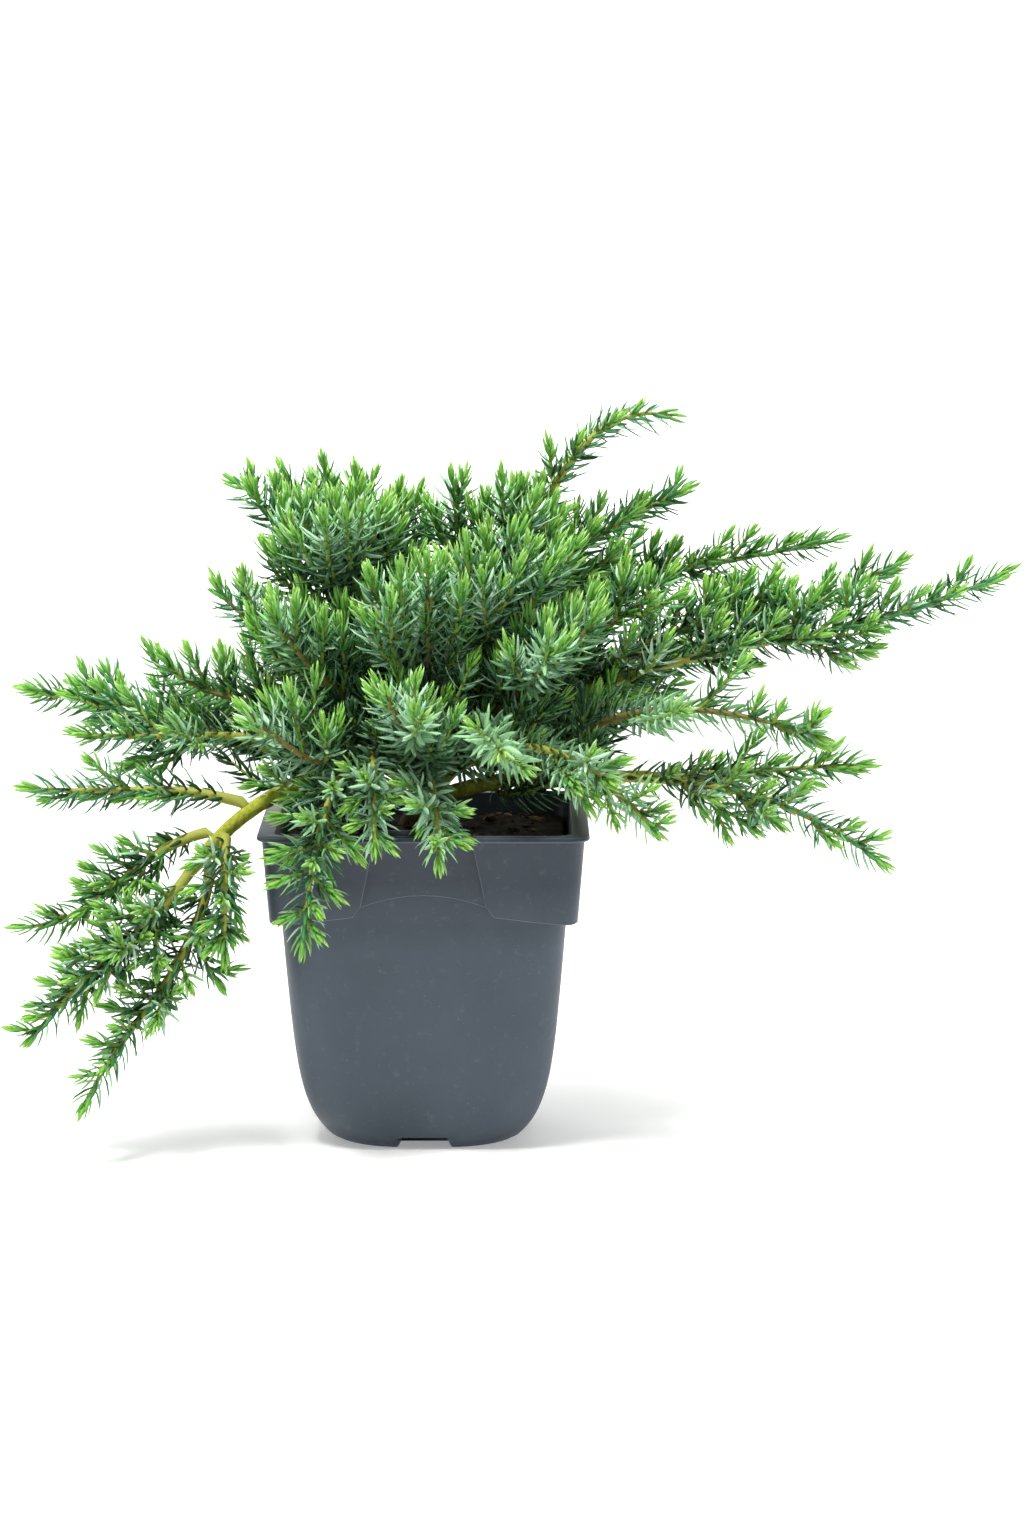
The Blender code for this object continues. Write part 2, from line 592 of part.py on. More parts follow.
def loft(name, sections, steps=4):
    """A closed solid through rounded squares, each given as height, half width and corner radius."""
    solid = bmesh.new()
    rings = []
    for height, half, corner in sections:
        outline = rounded_square(half, corner, steps)
        rings.append([solid.verts.new((x, y, height)) for x, y in outline])
    for low, high in zip(rings, rings[1:]):
        for i in range(len(low)):
            j = (i + 1) % len(low)
            solid.faces.new((low[i], low[j], high[j], high[i]))
    solid.faces.new(tuple(reversed(rings[0])))
    solid.faces.new(tuple(rings[-1]))
    mesh = bpy.data.meshes.new(name)
    solid.to_mesh(mesh)
    solid.free()
    return mesh


def body_half(z):
    return FOOT_HALF + BODY_SLOPE * z + BODY_BULGE * (1.0 - math.exp(-z / BODY_BULGE_HEIGHT))


def body_corner(z):
    return BODY_CORNER + FOOT_CORNER_EXTRA * math.exp(-z / FOOT_CORNER_HEIGHT)


def body_sections(inset, bottom, top, count):
    """Sections of the pot's body, closer together near the foot, where its side curves most."""
    heights = [mix(bottom, top, (i / count) ** 2) for i in range(count + 1)]
    return [(z, body_half(z) - inset, body_corner(z) - inset) for z in heights]


def prism(name, outline, depth, collection):
    """A flat outline in X and Z, drawn through the pot along Y, from a filled and extruded curve."""
    curve = bpy.data.curves.new(name, "CURVE")
    curve.dimensions = "2D"
    curve.fill_mode = "BOTH"
    curve.extrude = depth / 2
    spline = curve.splines.new("POLY")
    spline.points.add(len(outline) - 1)
    for point, (x, z) in zip(spline.points, outline):
        point.co = (x, z, 0.0, 1.0)
    spline.use_cyclic_u = True
    carrier = bpy.data.objects.new(name, curve)
    bpy.context.scene.collection.objects.link(carrier)
    bpy.context.view_layer.update()
    mesh = bpy.data.meshes.new_from_object(carrier.evaluated_get(bpy.context.evaluated_depsgraph_get()))
    bpy.data.objects.remove(carrier)
    solid = bmesh.new()
    solid.from_mesh(mesh)
    bmesh.ops.remove_doubles(solid, verts=solid.verts, dist=1e-6)
    bmesh.ops.rotate(solid, verts=solid.verts, matrix=Matrix.Rotation(math.pi / 2, 3, "X"))
    bmesh.ops.recalc_face_normals(solid, faces=solid.faces)
    solid.to_mesh(mesh)
    solid.free()
    made = mesh_object(name, mesh, collection)
    made.hide_render = True
    made.display_type = "WIRE"
    return made


def cut_with(target, cutter, operation="DIFFERENCE"):
    """Applies one exact Boolean to the target."""
    change = target.modifiers.new(operation.lower(), "BOOLEAN")
    change.operation = operation
    change.solver = "EXACT"
    change.object = cutter
    bpy.context.view_layer.update()
    evaluated = target.evaluated_get(bpy.context.evaluated_depsgraph_get())
    mesh = bpy.data.meshes.new_from_object(evaluated)
    target.modifiers.clear()
    target.data = mesh


def quarter_turned(cutter, collection):
    """A second cutter, turned a quarter about the pot's axis."""
    made = mesh_object(cutter.name + "_turned", cutter.data, collection)
    made.rotation_euler = (0.0, 0.0, math.pi / 2)
    made.hide_render = True
    made.display_type = "WIRE"
    return made


def pot_object(collection, cutters):
    """The nursery pot: a bulging square body, a collar with four corner blocks, a lip and a label tab."""
    sections = body_sections(0.0, FOOT_EDGE, POT_HEIGHT - 0.0005, 7)
    foot = (0.0, FOOT_HALF - FOOT_EDGE * 0.6, body_corner(0.0) - FOOT_EDGE * 0.6)
    pot = mesh_object("pot", loft("pot", [foot] + sections), collection, "pot")

    def flared(name, bottom, top, half_bottom, half_top, corner):
        middle = (bottom + top) / 2
        rows = [(bottom, half_bottom), (middle, (half_bottom + half_top) / 2), (top, half_top)]
        return mesh_object(name, loft(name, [(z, half, corner) for z, half in rows]), cutters)

    blocks = flared("blocks", COLLAR_BOTTOM, COLLAR_TOP, COLLAR_HALF_BOTTOM, COLLAR_HALF_TOP, COLLAR_CORNER)
    side = [(PANEL_HALF_WIDTH_TOP, COLLAR_TOP + 0.004), (PANEL_HALF_WIDTH_BOTTOM, BLOCK_EDGE_HEIGHT + 0.002)]
    side += [(PANEL_HALF_WIDTH_BOTTOM + 0.0022, BLOCK_EDGE_HEIGHT - 0.0010)]
    side += [(0.0300, COLLAR_BOTTOM + 0.0022), (LIP_HALF + 0.002, COLLAR_BOTTOM + 0.0004)]
    side += [(LIP_HALF + 0.002, COLLAR_BOTTOM - 0.004)]
    window = [(x, z) for x, z in side] + [(-x, z) for x, z in reversed(side)]
    for cutter in (prism("window", window, 0.12, cutters),):
        cut_with(blocks, cutter)
        cut_with(blocks, quarter_turned(cutter, cutters))

    panels = flared("panels", ARCH_FOOT - 0.003, COLLAR_TOP, PANEL_HALF_BOTTOM, PANEL_HALF_TOP, COLLAR_CORNER)
    arch = [(-LIP_HALF, ARCH_FOOT - 0.008)]
    spread, rise = PANEL_HALF_WIDTH_BOTTOM * 1.5, ARCH_CROWN - ARCH_FOOT
    for i in range(13):
        x = mix(-spread, spread, i / 12)
        arch.append((x, ARCH_CROWN - rise * (x / PANEL_HALF_WIDTH_BOTTOM) ** 2))
    arch.append((LIP_HALF, ARCH_FOOT - 0.008))
    for cutter in (prism("arch", arch, 0.12, cutters),):
        cut_with(panels, cutter)
        cut_with(panels, quarter_turned(cutter, cutters))

    lip_rows = [(LIP_BOTTOM, LIP_HALF - 0.0004), (LIP_BOTTOM + 0.0004, LIP_HALF), (POT_HEIGHT, LIP_HALF - 0.0002)]
    lip = mesh_object("lip", loft("lip", [(z, half, COLLAR_CORNER + 0.0006) for z, half in lip_rows]), cutters)
    tab_outline = [(-TAB_HALF_WIDTH, LIP_BOTTOM), (TAB_HALF_WIDTH, LIP_BOTTOM)]
    tab_outline += [(TAB_HALF_WIDTH, TAB_TOP - 0.001), (TAB_HALF_WIDTH - 0.001, TAB_TOP)]
    tab_outline += [(-TAB_HALF_WIDTH + 0.001, TAB_TOP), (-TAB_HALF_WIDTH, TAB_TOP - 0.001)]
    for piece in (blocks, panels, lip):
        cut_with(pot, piece, "UNION")

    hollow = body_sections(WALL, FLOOR_TOP, ARCH_FOOT - 0.001, 5)
    shoulder = [(ARCH_FOOT + 0.0015, PANEL_HALF_BOTTOM - WALL, COLLAR_CORNER - WALL * 0.5)]
    shoulder += [(POT_HEIGHT + 0.003, PANEL_HALF_TOP - WALL, COLLAR_CORNER - WALL * 0.5)]
    inside = mesh_object("inside", loft("inside", hollow + shoulder), cutters)
    cut_with(pot, inside)
    tab = prism("tab", tab_outline, TAB_THICK, cutters)
    tab.location.y = -(PANEL_HALF_TOP - WALL + TAB_THICK * 0.5 + 0.0003)
    cut_with(pot, tab, "UNION")

    recess = [(-RECESS_HALF_WIDTH_BOTTOM - 0.0004, -0.001), (RECESS_HALF_WIDTH_BOTTOM + 0.0004, -0.001)]
    recess += [(RECESS_HALF_WIDTH_TOP, RECESS_HEIGHT), (-RECESS_HALF_WIDTH_TOP, RECESS_HEIGHT)]
    for quarter in range(4):
        cutter = prism(f"recess_{quarter}", recess, RECESS_DEPTH * 2, cutters)
        turn = quarter * math.pi / 2
        cutter.location = (FOOT_HALF * math.sin(turn), -FOOT_HALF * math.cos(turn), 0.0)
        cutter.rotation_euler = (0.0, 0.0, turn)
        cut_with(pot, cutter)
    pot.data.materials.clear()
    pot.data.materials.append(material("pot"))
    pot.data.shade_smooth()
    pot.data.set_sharp_from_angle(angle=math.radians(30))
    return pot


def soil_object(collection):
    """The potting mix: it fills the pot GAP clear of its wall, under a low mound."""
    inset = WALL + 2 * GAP
    rows = body_sections(inset, FLOOR_TOP + GAP, ARCH_FOOT - 0.001, 5)
    half = PANEL_HALF_BOTTOM - inset
    corner = COLLAR_CORNER - WALL * 0.5 - GAP
    rows += [(ARCH_FOOT + 0.0020, half, corner), (SOIL_EDGE - 0.001, half, corner)]
    rise = SOIL_CROWN - SOIL_EDGE
    for share in (0.94, 0.75, 0.50, 0.24):
        rows.append((SOIL_CROWN - rise * share**2, half * share, corner * share))
    soil = mesh_object("soil", loft("soil", rows, 3), collection, "soil")
    soil.data.shade_smooth()
    soil.data.set_sharp_from_angle(angle=math.radians(50))
    return soil


def trunk_object(trunk, collection):
    """The short trunk, from a flat cut at the soil to its fork, with a flare at the root."""
    shares = even_shares(trunk, 0.0045, 4)
    flares = [(TRUNK_FLARE - TRUNK_RADIUS) * (1.0 - min(1.0, share / FLARE_SHARE)) ** 2 for share in shares]
    radii = [trunk.radius(share) + flare for share, flare in zip(shares, flares)]
    mesh = limb_mesh("trunk", trunk, shares, 10, 0.0, radii)
    made = mesh_object("trunk", mesh, collection, "bark")
    mesh.shade_smooth()
    mesh.set_sharp_from_angle(angle=math.radians(50))
    return made


def main():
    for old in list(bpy.data.objects):
        bpy.data.objects.remove(old)
    parts = bpy.data.collections.new("potted_juniper")
    cutters = bpy.data.collections.new("cutters")
    for made in (parts, cutters):
        bpy.context.scene.collection.children.link(made)
    pot_object(parts, cutters)
    soil_object(parts)
    for piece in list(cutters.objects):
        bpy.data.objects.remove(piece)
    trunk, boughs, stems = all_limbs()
    trunk_object(trunk, parts)
    for name, limb in boughs.items():
        if name != "trunk":
            mesh = limb_mesh("bough_" + name, limb, even_shares(limb, 0.012, 3), 5)
            mesh_object("bough_" + name, mesh, parts, "young_stem")
            mesh.shade_smooth()
    for name, spec in MASSES.items():
        foliage(name, spec, stems, boughs, parts)


main()
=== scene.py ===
"""The looks of a young flaky juniper of the blue carpet kind in its square nursery pot.

Everything is in metres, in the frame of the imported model. The limbs follow the same named sizes and
the same rule as the model's source, and are carried on here to finer twigs and single needles.
"""

import itertools
import math
import random
from collections import namedtuple

import bmesh
import bpy
import numpy as np
from mathutils import Matrix, Vector, noise
from mathutils.kdtree import KDTree


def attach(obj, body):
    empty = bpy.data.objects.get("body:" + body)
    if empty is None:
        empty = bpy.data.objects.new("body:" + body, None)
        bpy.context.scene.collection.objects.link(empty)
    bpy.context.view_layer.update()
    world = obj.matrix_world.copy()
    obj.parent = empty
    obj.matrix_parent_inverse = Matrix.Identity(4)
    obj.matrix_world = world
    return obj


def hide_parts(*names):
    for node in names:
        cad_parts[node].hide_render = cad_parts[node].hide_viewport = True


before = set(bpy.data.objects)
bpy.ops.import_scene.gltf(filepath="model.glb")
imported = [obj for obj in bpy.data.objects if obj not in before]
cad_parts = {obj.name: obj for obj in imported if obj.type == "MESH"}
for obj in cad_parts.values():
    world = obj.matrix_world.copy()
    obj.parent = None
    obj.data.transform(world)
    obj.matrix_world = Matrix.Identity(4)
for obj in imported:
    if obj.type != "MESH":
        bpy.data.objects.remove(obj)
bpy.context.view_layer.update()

# Camera
AIM = Vector((0.0247, 0.0, 0.105))
CAMERA_DISTANCE = 1.4
CAMERA_ELEVATION = math.radians(8)
CAMERA_LENS = 114.84
SENSOR_HEIGHT = 36.0

# Stage: sheets as rows of depth and height with their glow, lights as place, aim, size, power, colour
SHEET_HALF = 4.0
SHEETS = (
    ("floor", ((-3.0, 0.0), (1.2, 0.0)), 0.27),
    ("backdrop", ((1.2, 0.0), (1.6, 0.05), (1.9, 0.22), (2.05, 0.55), (2.1, 3.0)), 1.0),
)
WORLD_GLOW = 0.1
WHITE = (1.0, 1.0, 1.0)
LIGHTS = {
    "key": ((-0.34, -0.52, 1.42), (0.02, 0.0, 0.12), 0.45, 30.0, (1.0, 0.99, 0.95)),
    "fill": ((0.9, -1.1, 0.6), (0.0, 0.0, 0.1), 0.8, 2.0, WHITE),
    "left_strip": ((-1.1, -0.25, 0.35), (0.0, 0.0, 0.06), 0.35, 2.6, WHITE),
    "right_strip": ((1.1, -0.25, 0.35), (0.0, 0.0, 0.06), 0.35, 2.6, WHITE),
    "top": ((0.15, 0.15, 1.5), (0.0, 0.0, 0.1), 0.9, 15.0, WHITE),
}

# Pot
POT_HEIGHT = 0.0918
FOOT_HALF = 0.0262
FOOT_EDGE = 0.0012
FOOT_ROUND = ((0.0, 0.6), (0.3, 0.22))
BODY_SLOPE = 0.077
BODY_BULGE = 0.0087
BODY_BULGE_HEIGHT = 0.01
BODY_CORNER = 0.01
FOOT_CORNER_EXTRA = 0.01
FOOT_CORNER_HEIGHT = 0.02
BODY_BELOW_RIM = 0.0005
BODY_ROWS = 26
WALL = 0.0013
INSIDE_ROWS = 12
FLOOR_TOP = 0.005
COLLAR_BOTTOM = 0.0655
COLLAR_TOP = 0.0908
COLLAR_HALF_BOTTOM = 0.043
COLLAR_HALF_TOP = 0.045
COLLAR_CORNER = 0.006
BLOCK_EDGE_HEIGHT = 0.07
BLOCK_TURN = 0.0022
BLOCK_DIP = 0.001
BLOCK_EDGE_MIDDLE = 0.03
BLOCK_EDGE_RISE = 0.0022
BLOCK_END_RISE = 0.0004
PANEL_HALF_WIDTH_TOP = 0.0127
PANEL_HALF_WIDTH_BOTTOM = 0.0175
PANEL_HALF_BOTTOM = 0.0415
PANEL_HALF_TOP = 0.0431
PANEL_BELOW = 0.003
ARCH_FOOT = 0.0716
ARCH_CROWN = 0.075
ARCH_SPREAD = 1.5
ARCH_STEPS = 6
SHOULDER_BELOW = 0.001
SHOULDER_ABOVE = 0.0015
LIP_HALF = 0.0464
LIP_BOTTOM = 0.0903
LIP_ROUND = 0.0004
LIP_CORNER_EXTRA = 0.0006
RIM_PAST = 0.003
TAB_HALF_WIDTH = 0.0125
TAB_TOP = 0.0936
TAB_THICK = 0.001
TAB_CHAMFER = 0.001
TAB_GAP = 0.0003
RECESS_HEIGHT = 0.0033
RECESS_HALF_WIDTH_BOTTOM = 0.0077
RECESS_HALF_WIDTH_TOP = 0.0063
RECESS_DEPTH = 0.009
RECESS_SPREAD = 0.0004
RECESS_BELOW = 0.001
CUT_PAST = 0.004
CUT_LENGTH = 0.12
CORNER_STEPS = 10
EDGE_ROUND = 0.0004
EDGE_ANGLE = math.radians(30)
SHARP_ANGLE = math.radians(38)
WELD = 1e-6
# Painted shadow of the foliage over the collar: a grey that the plastic's colour is multiplied by, from 58 mm
# up and in full from 78 mm
COLLAR_PAINTED_SHADOW = (0.58, 0.58, 0.6)
# Dark and pale ends of each plastic's mottle; the paler second plastic goes on the bevelled edges as a
# painted highlight
PLASTIC_COLOURS = {
    "pot_plastic": ((0.047, 0.062, 0.081), (0.057, 0.074, 0.096)),
    "pot_edge_highlight": ((0.13, 0.165, 0.2), (0.16, 0.2, 0.24)),
}

# Potting mix and trunk
SOIL_EDGE = 0.0858
SOIL_CROWN = 0.0885
SOIL_STEPS = (4, 26)
SOIL_RINGS = 38
SOIL_SHOULDER = 0.002
CHIPS = 170
CHIP_SIZES = (0.0011, 0.0016, 0.0022, 0.0034, 0.0048)
CHIP_LIFTS = (-0.0002, 0.0006)
CHIP_MARGIN = 0.003
CHIP_COLOURS = {
    "chip_dark": ((0.02, 0.011, 0.006), (0.055, 0.028, 0.014), (0.1, 0.052, 0.028)),
    "chip_brown": ((0.06, 0.03, 0.014), (0.14, 0.07, 0.034), (0.24, 0.13, 0.07)),
    "chip_pale": ((0.12, 0.07, 0.038), (0.26, 0.16, 0.092), (0.42, 0.28, 0.17)),
}
GAP = 0.0004
TRUNK_HEIGHT = 0.027
TRUNK_LEAN = 0.003
TRUNK_RISES = (90, 80)
TRUNK_FLARE = 0.0085
FLARE_SHARE = 0.3
TRUNK_RADIUS = 0.0056
TRUNK_TOP_RADIUS = 0.0042
OLD_BARK = ((0.05, 0.026, 0.014), (0.15, 0.082, 0.042), (0.3, 0.19, 0.11))
YOUNG_BARK = ((0.13, 0.13, 0.014), (0.31, 0.34, 0.028), (0.44, 0.49, 0.05))

# Growth rule shared with the model's source
UPRIGHT = 1e-4
GOLDEN_ANGLE = math.radians(137.5)
HANDLE = 0.38
ROOT_SHARE = 0.85
ROOT_MOST = 0.0019
TWIG_SPACING = 0.0178
DENSE_TWIG_SPACING = 0.028
TWIG_FIRST = 0.22
TWIG_LAST = 0.93
TWIG_ANGLE_BASE = math.radians(64)
TWIG_ANGLE_TIP = math.radians(38)
TWIG_LIFT = 0.35
TWIG_AHEAD = 0.25
TWIG_END_PULL = 0.9
TWIG_BASE = 0.72
TWIG_SWELL = 0.28
TWIG_TAPER = 0.55
TWIG_SIZES = (0.88, 1.08)
TWIG_CORE = 0.0012
TWIG_TRIES = (1.0, 0.8, 0.62)
TWIG_TESTS = (0.35, 0.6, 0.8, 1.0)
STEM_CORE_TIP = 0.001
CORE_TIP_SHARE = 0.22
SPACE_MARGIN = 0.0014
SITE_STEP = 0.003
PLANT_TOP = 0.21
PLACE_JITTER = (0.2, 0.8)

# Finer growth: shoots between the source's twigs and side shoots on them
FINE_SPACING = 0.0024
FINE_FIRST = 0.1
FINE_LAST = 0.975
FINE_MARGIN = -0.007
FINE_SIZES = (0.75, 1.1)
SIDE_SPACING = 0.0034
SIDE_STRETCH = 0.7
SIDE_FIRST = 0.16
SIDE_LAST = 0.84
SIDE_TIP_SHARE = 0.4
SIDE_SIZES = (0.8, 1.15)
SHOOT_LEAST = 0.006
SHOOT_RADIUS = 0.0007
SHOOT_TIP_RADIUS = 0.00035
STEM_TIP_RADIUS = 0.00045
TWIG_WIDER = 1.2
SHOOT_TRIES = (1.0, 0.82, 0.66, 0.5, 0.38)
SHOOT_TESTS = (0.5, 0.75, 1.0)
CROWD_TESTS = (0.6, 0.8, 1.0)
CROWD_CELL = 0.006
CROWD_STEPS = 6
CROWD_FIRST = 0.3
STEM_CROWD_FIRST = 0.6
AHEAD_MOST = 0.005
ABOVE_MOST = 0.0045
DROP_MOST = 0.012

# How masses grow: the room round a shoot, its lift and size, the least length that bears side shoots,
# how many orders of them there are, the least length asked of one and its share of its bearer's length
Habit = namedtuple("Habit", "room lift size bearer_least orders least share")
DENSE = Habit(0.0056, 1.15, 1.0, 0.01, 2, 0.011, 0.85)
OPEN = Habit(0.0048, 0.5, 0.85, 0.0135, 1, 0.0, 0.55)

# Short shoots on the boughs, which fill the inside of the crown
INNER = OPEN._replace(lift=0.7)
INNER_SHOOT = 0.026
INNER_SIZES = (0.6, 1.0)
INNER_SIDE_SHARE = 0.7
INNER_SIDE_PLACES = (0.25, 0.5, 0.75)
INNER_TOP = 0.165
INNER_MARGIN = 0.004
INNER_LAST = {"left_low": 0.3, "right_low": 0.62, "right": 0.8, "left": 0.8, "back_left": 0.8}
INNER_LAST_ELSE = 0.98
# Odds that a short inner shoot takes the darkest needles all along, as painted shade inside the crown
INNER_PAINTED_SHADE_ODDS = 0.45

# Needles in whorls of three
WHORL_SPACING = 0.0021
WHORL_JITTER = (0.88, 1.12)
WHORL_TURN = math.pi / 3
WHORL_TIP_SHARE = 0.62
NEEDLE_LENGTH = 0.0082
DENSE_NEEDLES = 1.06
NEEDLE_SIZES = (0.86, 1.12)
NEEDLE_BASE_SHARE = 0.72
NEEDLE_TIP_SHARE = 0.62
NEEDLE_SHORTER = 0.7
NEEDLE_HALF_WIDTH = 0.00068
NEEDLE_WIDTHS = (0.85, 1.15)
NEEDLE_TIP_WIDTH = 0.85
NEEDLE_ANGLE_BASE = math.radians(64)
NEEDLE_ANGLE_TIP = math.radians(14)
NEEDLE_TURN_JITTER = 0.16
NEEDLE_ANGLE_JITTER = 0.14
NEEDLE_CURL = 0.26
NEEDLE_CREASE = 0.1
NEEDLE_KEEL = 0.62
NEEDLE_MARGIN = -0.009
NEEDLE_FIRST = 0.1
STEM_NEEDLE_FIRST = 0.08
BARK_DEPTH = 0.6
OPENING_LENGTH = 0.006
TIP_LENGTH = 0.0085
YOUNG_LENGTH = 0.005
BUD_LENGTH = 0.0018
# Needles on the first share of a shoot take the darkest kind at these odds, as painted shade deep in the
# crown
PAINTED_SHADE_SHARE = 0.36
PAINTED_SHADE_ODDS = 0.72
TINTS = ("blue", "grey", "green")
TINT_ODDS = (0.42, 0.2, 0.38)

# Bark and tubes
TWIG_SIDES = 6
TWIG_STEP = 0.0025
BOUGH_SIDES = 14
BOUGH_STEP = 0.0009
TRUNK_SIDES = 40
TRUNK_STEP = 0.0007
TUBE_FOOT = 1.1
TUBE_TIP = 0.8

# Azimuths and rises are in degrees, and radii run from root to tip. Leaves and at are places along
# the trunk and the bough, twig is the length of the longest twig.
Bough = namedtuple("Bough", "leaves azimuth reach height rises radii")
Mass = namedtuple("Mass", "bough at azimuth reach height rises twig dense", defaults=(False,))

BOUGH_ROWS = {
    "leader": (1.0, 24, 0.024, 0.148, (80, 68), (0.003, 0.0021)),
    "right": (0.7, 2, 0.064, 0.133, (42, 16), (0.0023, 0.0017)),
    "right_upper": (0.93, 38, 0.043, 0.138, (52, 40), (0.0021, 0.0016)),
    "right_low": (0.34, 345, 0.066, 0.105, (20, 3), (0.0023, 0.0017)),
    "front_right": (0.58, 306, 0.042, 0.115, (40, 14), (0.0022, 0.0017)),
    "front": (0.46, 268, 0.036, 0.113, (40, 18), (0.0021, 0.0016)),
    "front_left": (0.66, 236, 0.044, 0.112, (38, 2), (0.0022, 0.0017)),
    "left_low": (0.26, 208, 0.0735, 0.081, (40, -50), (0.0025, 0.0019)),
    "left": (0.54, 182, 0.05, 0.112, (28, 10), (0.0023, 0.0017)),
    "crest_left": (0.9, 184, 0.029, 0.142, (56, 62), (0.0022, 0.0017)),
    "crest_back": (0.82, 116, 0.03, 0.14, (58, 58), (0.0022, 0.0017)),
    "back_right": (0.46, 50, 0.052, 0.114, (34, 12), (0.0023, 0.0017)),
    "back": (0.62, 84, 0.05, 0.117, (38, 12), (0.0023, 0.0017)),
    "back_left": (0.4, 148, 0.052, 0.111, (30, 10), (0.0023, 0.0017)),
}

MASS_ROWS = {
    "leader": ("leader", 1.0, 8, 0.071, 0.205, (80, -12), 0.014),
    "crest_top_right": ("leader", 0.55, 350, 0.027, 0.186, (70, 84), 0.034, True),
    "crest_front_right": ("leader", 0.22, 312, 0.037, 0.176, (52, 76), 0.034, True),
    "right_top": ("leader", 0.78, 22, 0.082, 0.183, (52, 20), 0.02),
    "right_long": ("right", 1.0, 3, 0.166, 0.1605, (12, 27), 0.02),
    "right_fork": ("right", 0.8, 10, 0.14, 0.1625, (34, 30), 0.018),
    "right_upper": ("right_upper", 1.0, 16, 0.124, 0.1675, (38, 14), 0.018),
    "right_shoulder": ("right", 0.46, 358, 0.07, 0.162, (62, 56), 0.03, True),
    "right_back": ("right_upper", 0.62, 34, 0.074, 0.168, (58, 52), 0.03, True),
    "right_low": ("right_low", 1.0, 352, 0.126, 0.1085, (3, 2), 0.016),
    "right_drooping": ("right_low", 0.8, 341, 0.135, 0.0845, (2, -34), 0.02),
    "right_front": ("right_low", 0.5, 338, 0.118, 0.12, (46, -14), 0.03, True),
    "right_corner": ("right_low", 0.4, 322, 0.082, 0.094, (22, -36), 0.022),
    "front_star": ("front_right", 1.0, 307, 0.086, 0.111, (14, -12), 0.022),
    "front_mid": ("front_right", 0.72, 287, 0.075, 0.119, (30, -4), 0.028, True),
    "front_right_high": ("front_right", 0.52, 318, 0.064, 0.154, (60, 62), 0.032, True),
    "front_centre": ("front", 1.0, 262, 0.067, 0.135, (30, 46), 0.028, True),
    "front_hanging": ("front", 0.82, 274, 0.069, 0.088, (0, -55), 0.018),
    "crest_front": ("trunk", 0.84, 272, 0.042, 0.166, (52, 74), 0.034, True),
    "front_left": ("front_left", 1.0, 229, 0.074, 0.129, (6, 40), 0.03, True),
    "front_left_high": ("front_left", 0.56, 226, 0.06, 0.156, (62, 66), 0.032, True),
    "corner_hanging": ("front_left", 0.86, 243, 0.072, 0.064, (-6, -78), 0.017),
    "front_low": ("front_left", 0.68, 259, 0.067, 0.092, (4, -44), 0.017),
    "side_hanging": ("left_low", 0.84, 222, 0.074, 0.059, (-20, -80), 0.014),
    "left_low": ("left_low", 0.86, 197, 0.118, 0.065, (-12, 2), 0.013),
    "left_hanging": ("left_low", 1.0, 202, 0.118, 0.035, (-50, -50), 0.018),
    "left_hanging_inner": ("left_low", 0.94, 209, 0.108, 0.017, (-84, -60), 0.018),
    "left_mid": ("left_low", 0.7, 193, 0.114, 0.103, (16, 6), 0.018),
    "left_long": ("left", 1.0, 175, 0.115, 0.1265, (10, 6), 0.02),
    "left_second": ("left", 0.8, 192, 0.1, 0.118, (14, 10), 0.022),
    "left_shoulder": ("left", 0.6, 184, 0.074, 0.137, (52, 56), 0.03, True),
    "crest_left_low": ("crest_left", 0.36, 196, 0.06, 0.158, (44, 54), 0.03, True),
    "crest_left_top": ("crest_left", 1.0, 168, 0.056, 0.186, (58, 22), 0.022, True),
    "crest_top_left": ("crest_left", 0.72, 214, 0.025, 0.184, (72, 84), 0.034, True),
    "crest_back_left": ("crest_back", 0.66, 146, 0.05, 0.188, (66, 62), 0.032, True),
    "crest_back": ("crest_back", 1.0, 94, 0.048, 0.178, (58, 56), 0.034, True),
    "back_right_long": ("back_right", 1.0, 38, 0.118, 0.133, (12, 14), 0.026),
    "back_right_high": ("back_right", 0.56, 56, 0.07, 0.156, (58, 58), 0.034, True),
    "back_right_low": ("back_right", 0.76, 64, 0.106, 0.096, (8, -22), 0.022),
    "back_long": ("back", 1.0, 90, 0.114, 0.126, (12, 10), 0.026),
    "back_high": ("back", 0.58, 102, 0.072, 0.148, (54, 56), 0.032, True),
    "back_drooping": ("back", 0.78, 112, 0.102, 0.09, (8, -30), 0.02),
    "back_left_long": ("back_left", 1.0, 152, 0.116, 0.122, (10, 12), 0.026),
}

BOUGHS = {name: Bough(*row) for name, row in BOUGH_ROWS.items()}
MASSES = {name: Mass(*row) for name, row in MASS_ROWS.items()}

# Base colour and roughness: the upper and the lower side of each kind of needle, and twigs. The darkest kind
# of needle is painted shade, for needles inside the crown and near the foot of shoots
NEEDLE_LOOKS = {
    "blue": (((0.33, 0.57, 0.37), 0.58), ((0.042, 0.175, 0.052), 0.48)),
    "grey": (((0.44, 0.65, 0.46), 0.6), ((0.058, 0.205, 0.078), 0.5)),
    "green": (((0.28, 0.52, 0.27), 0.56), ((0.055, 0.2, 0.034), 0.46)),
    "young": (((0.31, 0.55, 0.19), 0.52), ((0.11, 0.33, 0.05), 0.46)),
    "tip": (((0.37, 0.6, 0.16), 0.5), ((0.185, 0.43, 0.06), 0.46)),
    "old": (((0.11, 0.24, 0.12), 0.62), ((0.016, 0.062, 0.016), 0.6)),
}
TWIG_COLOURS = {
    "twig_green": ((0.2, 0.3, 0.05), 0.6),
    "twig_olive": ((0.29, 0.31, 0.055), 0.65),
    "twig_brown": ((0.17, 0.15, 0.042), 0.75),
}
GREEN_TWIG, OLIVE_TWIG, BROWN_TWIG = range(3)

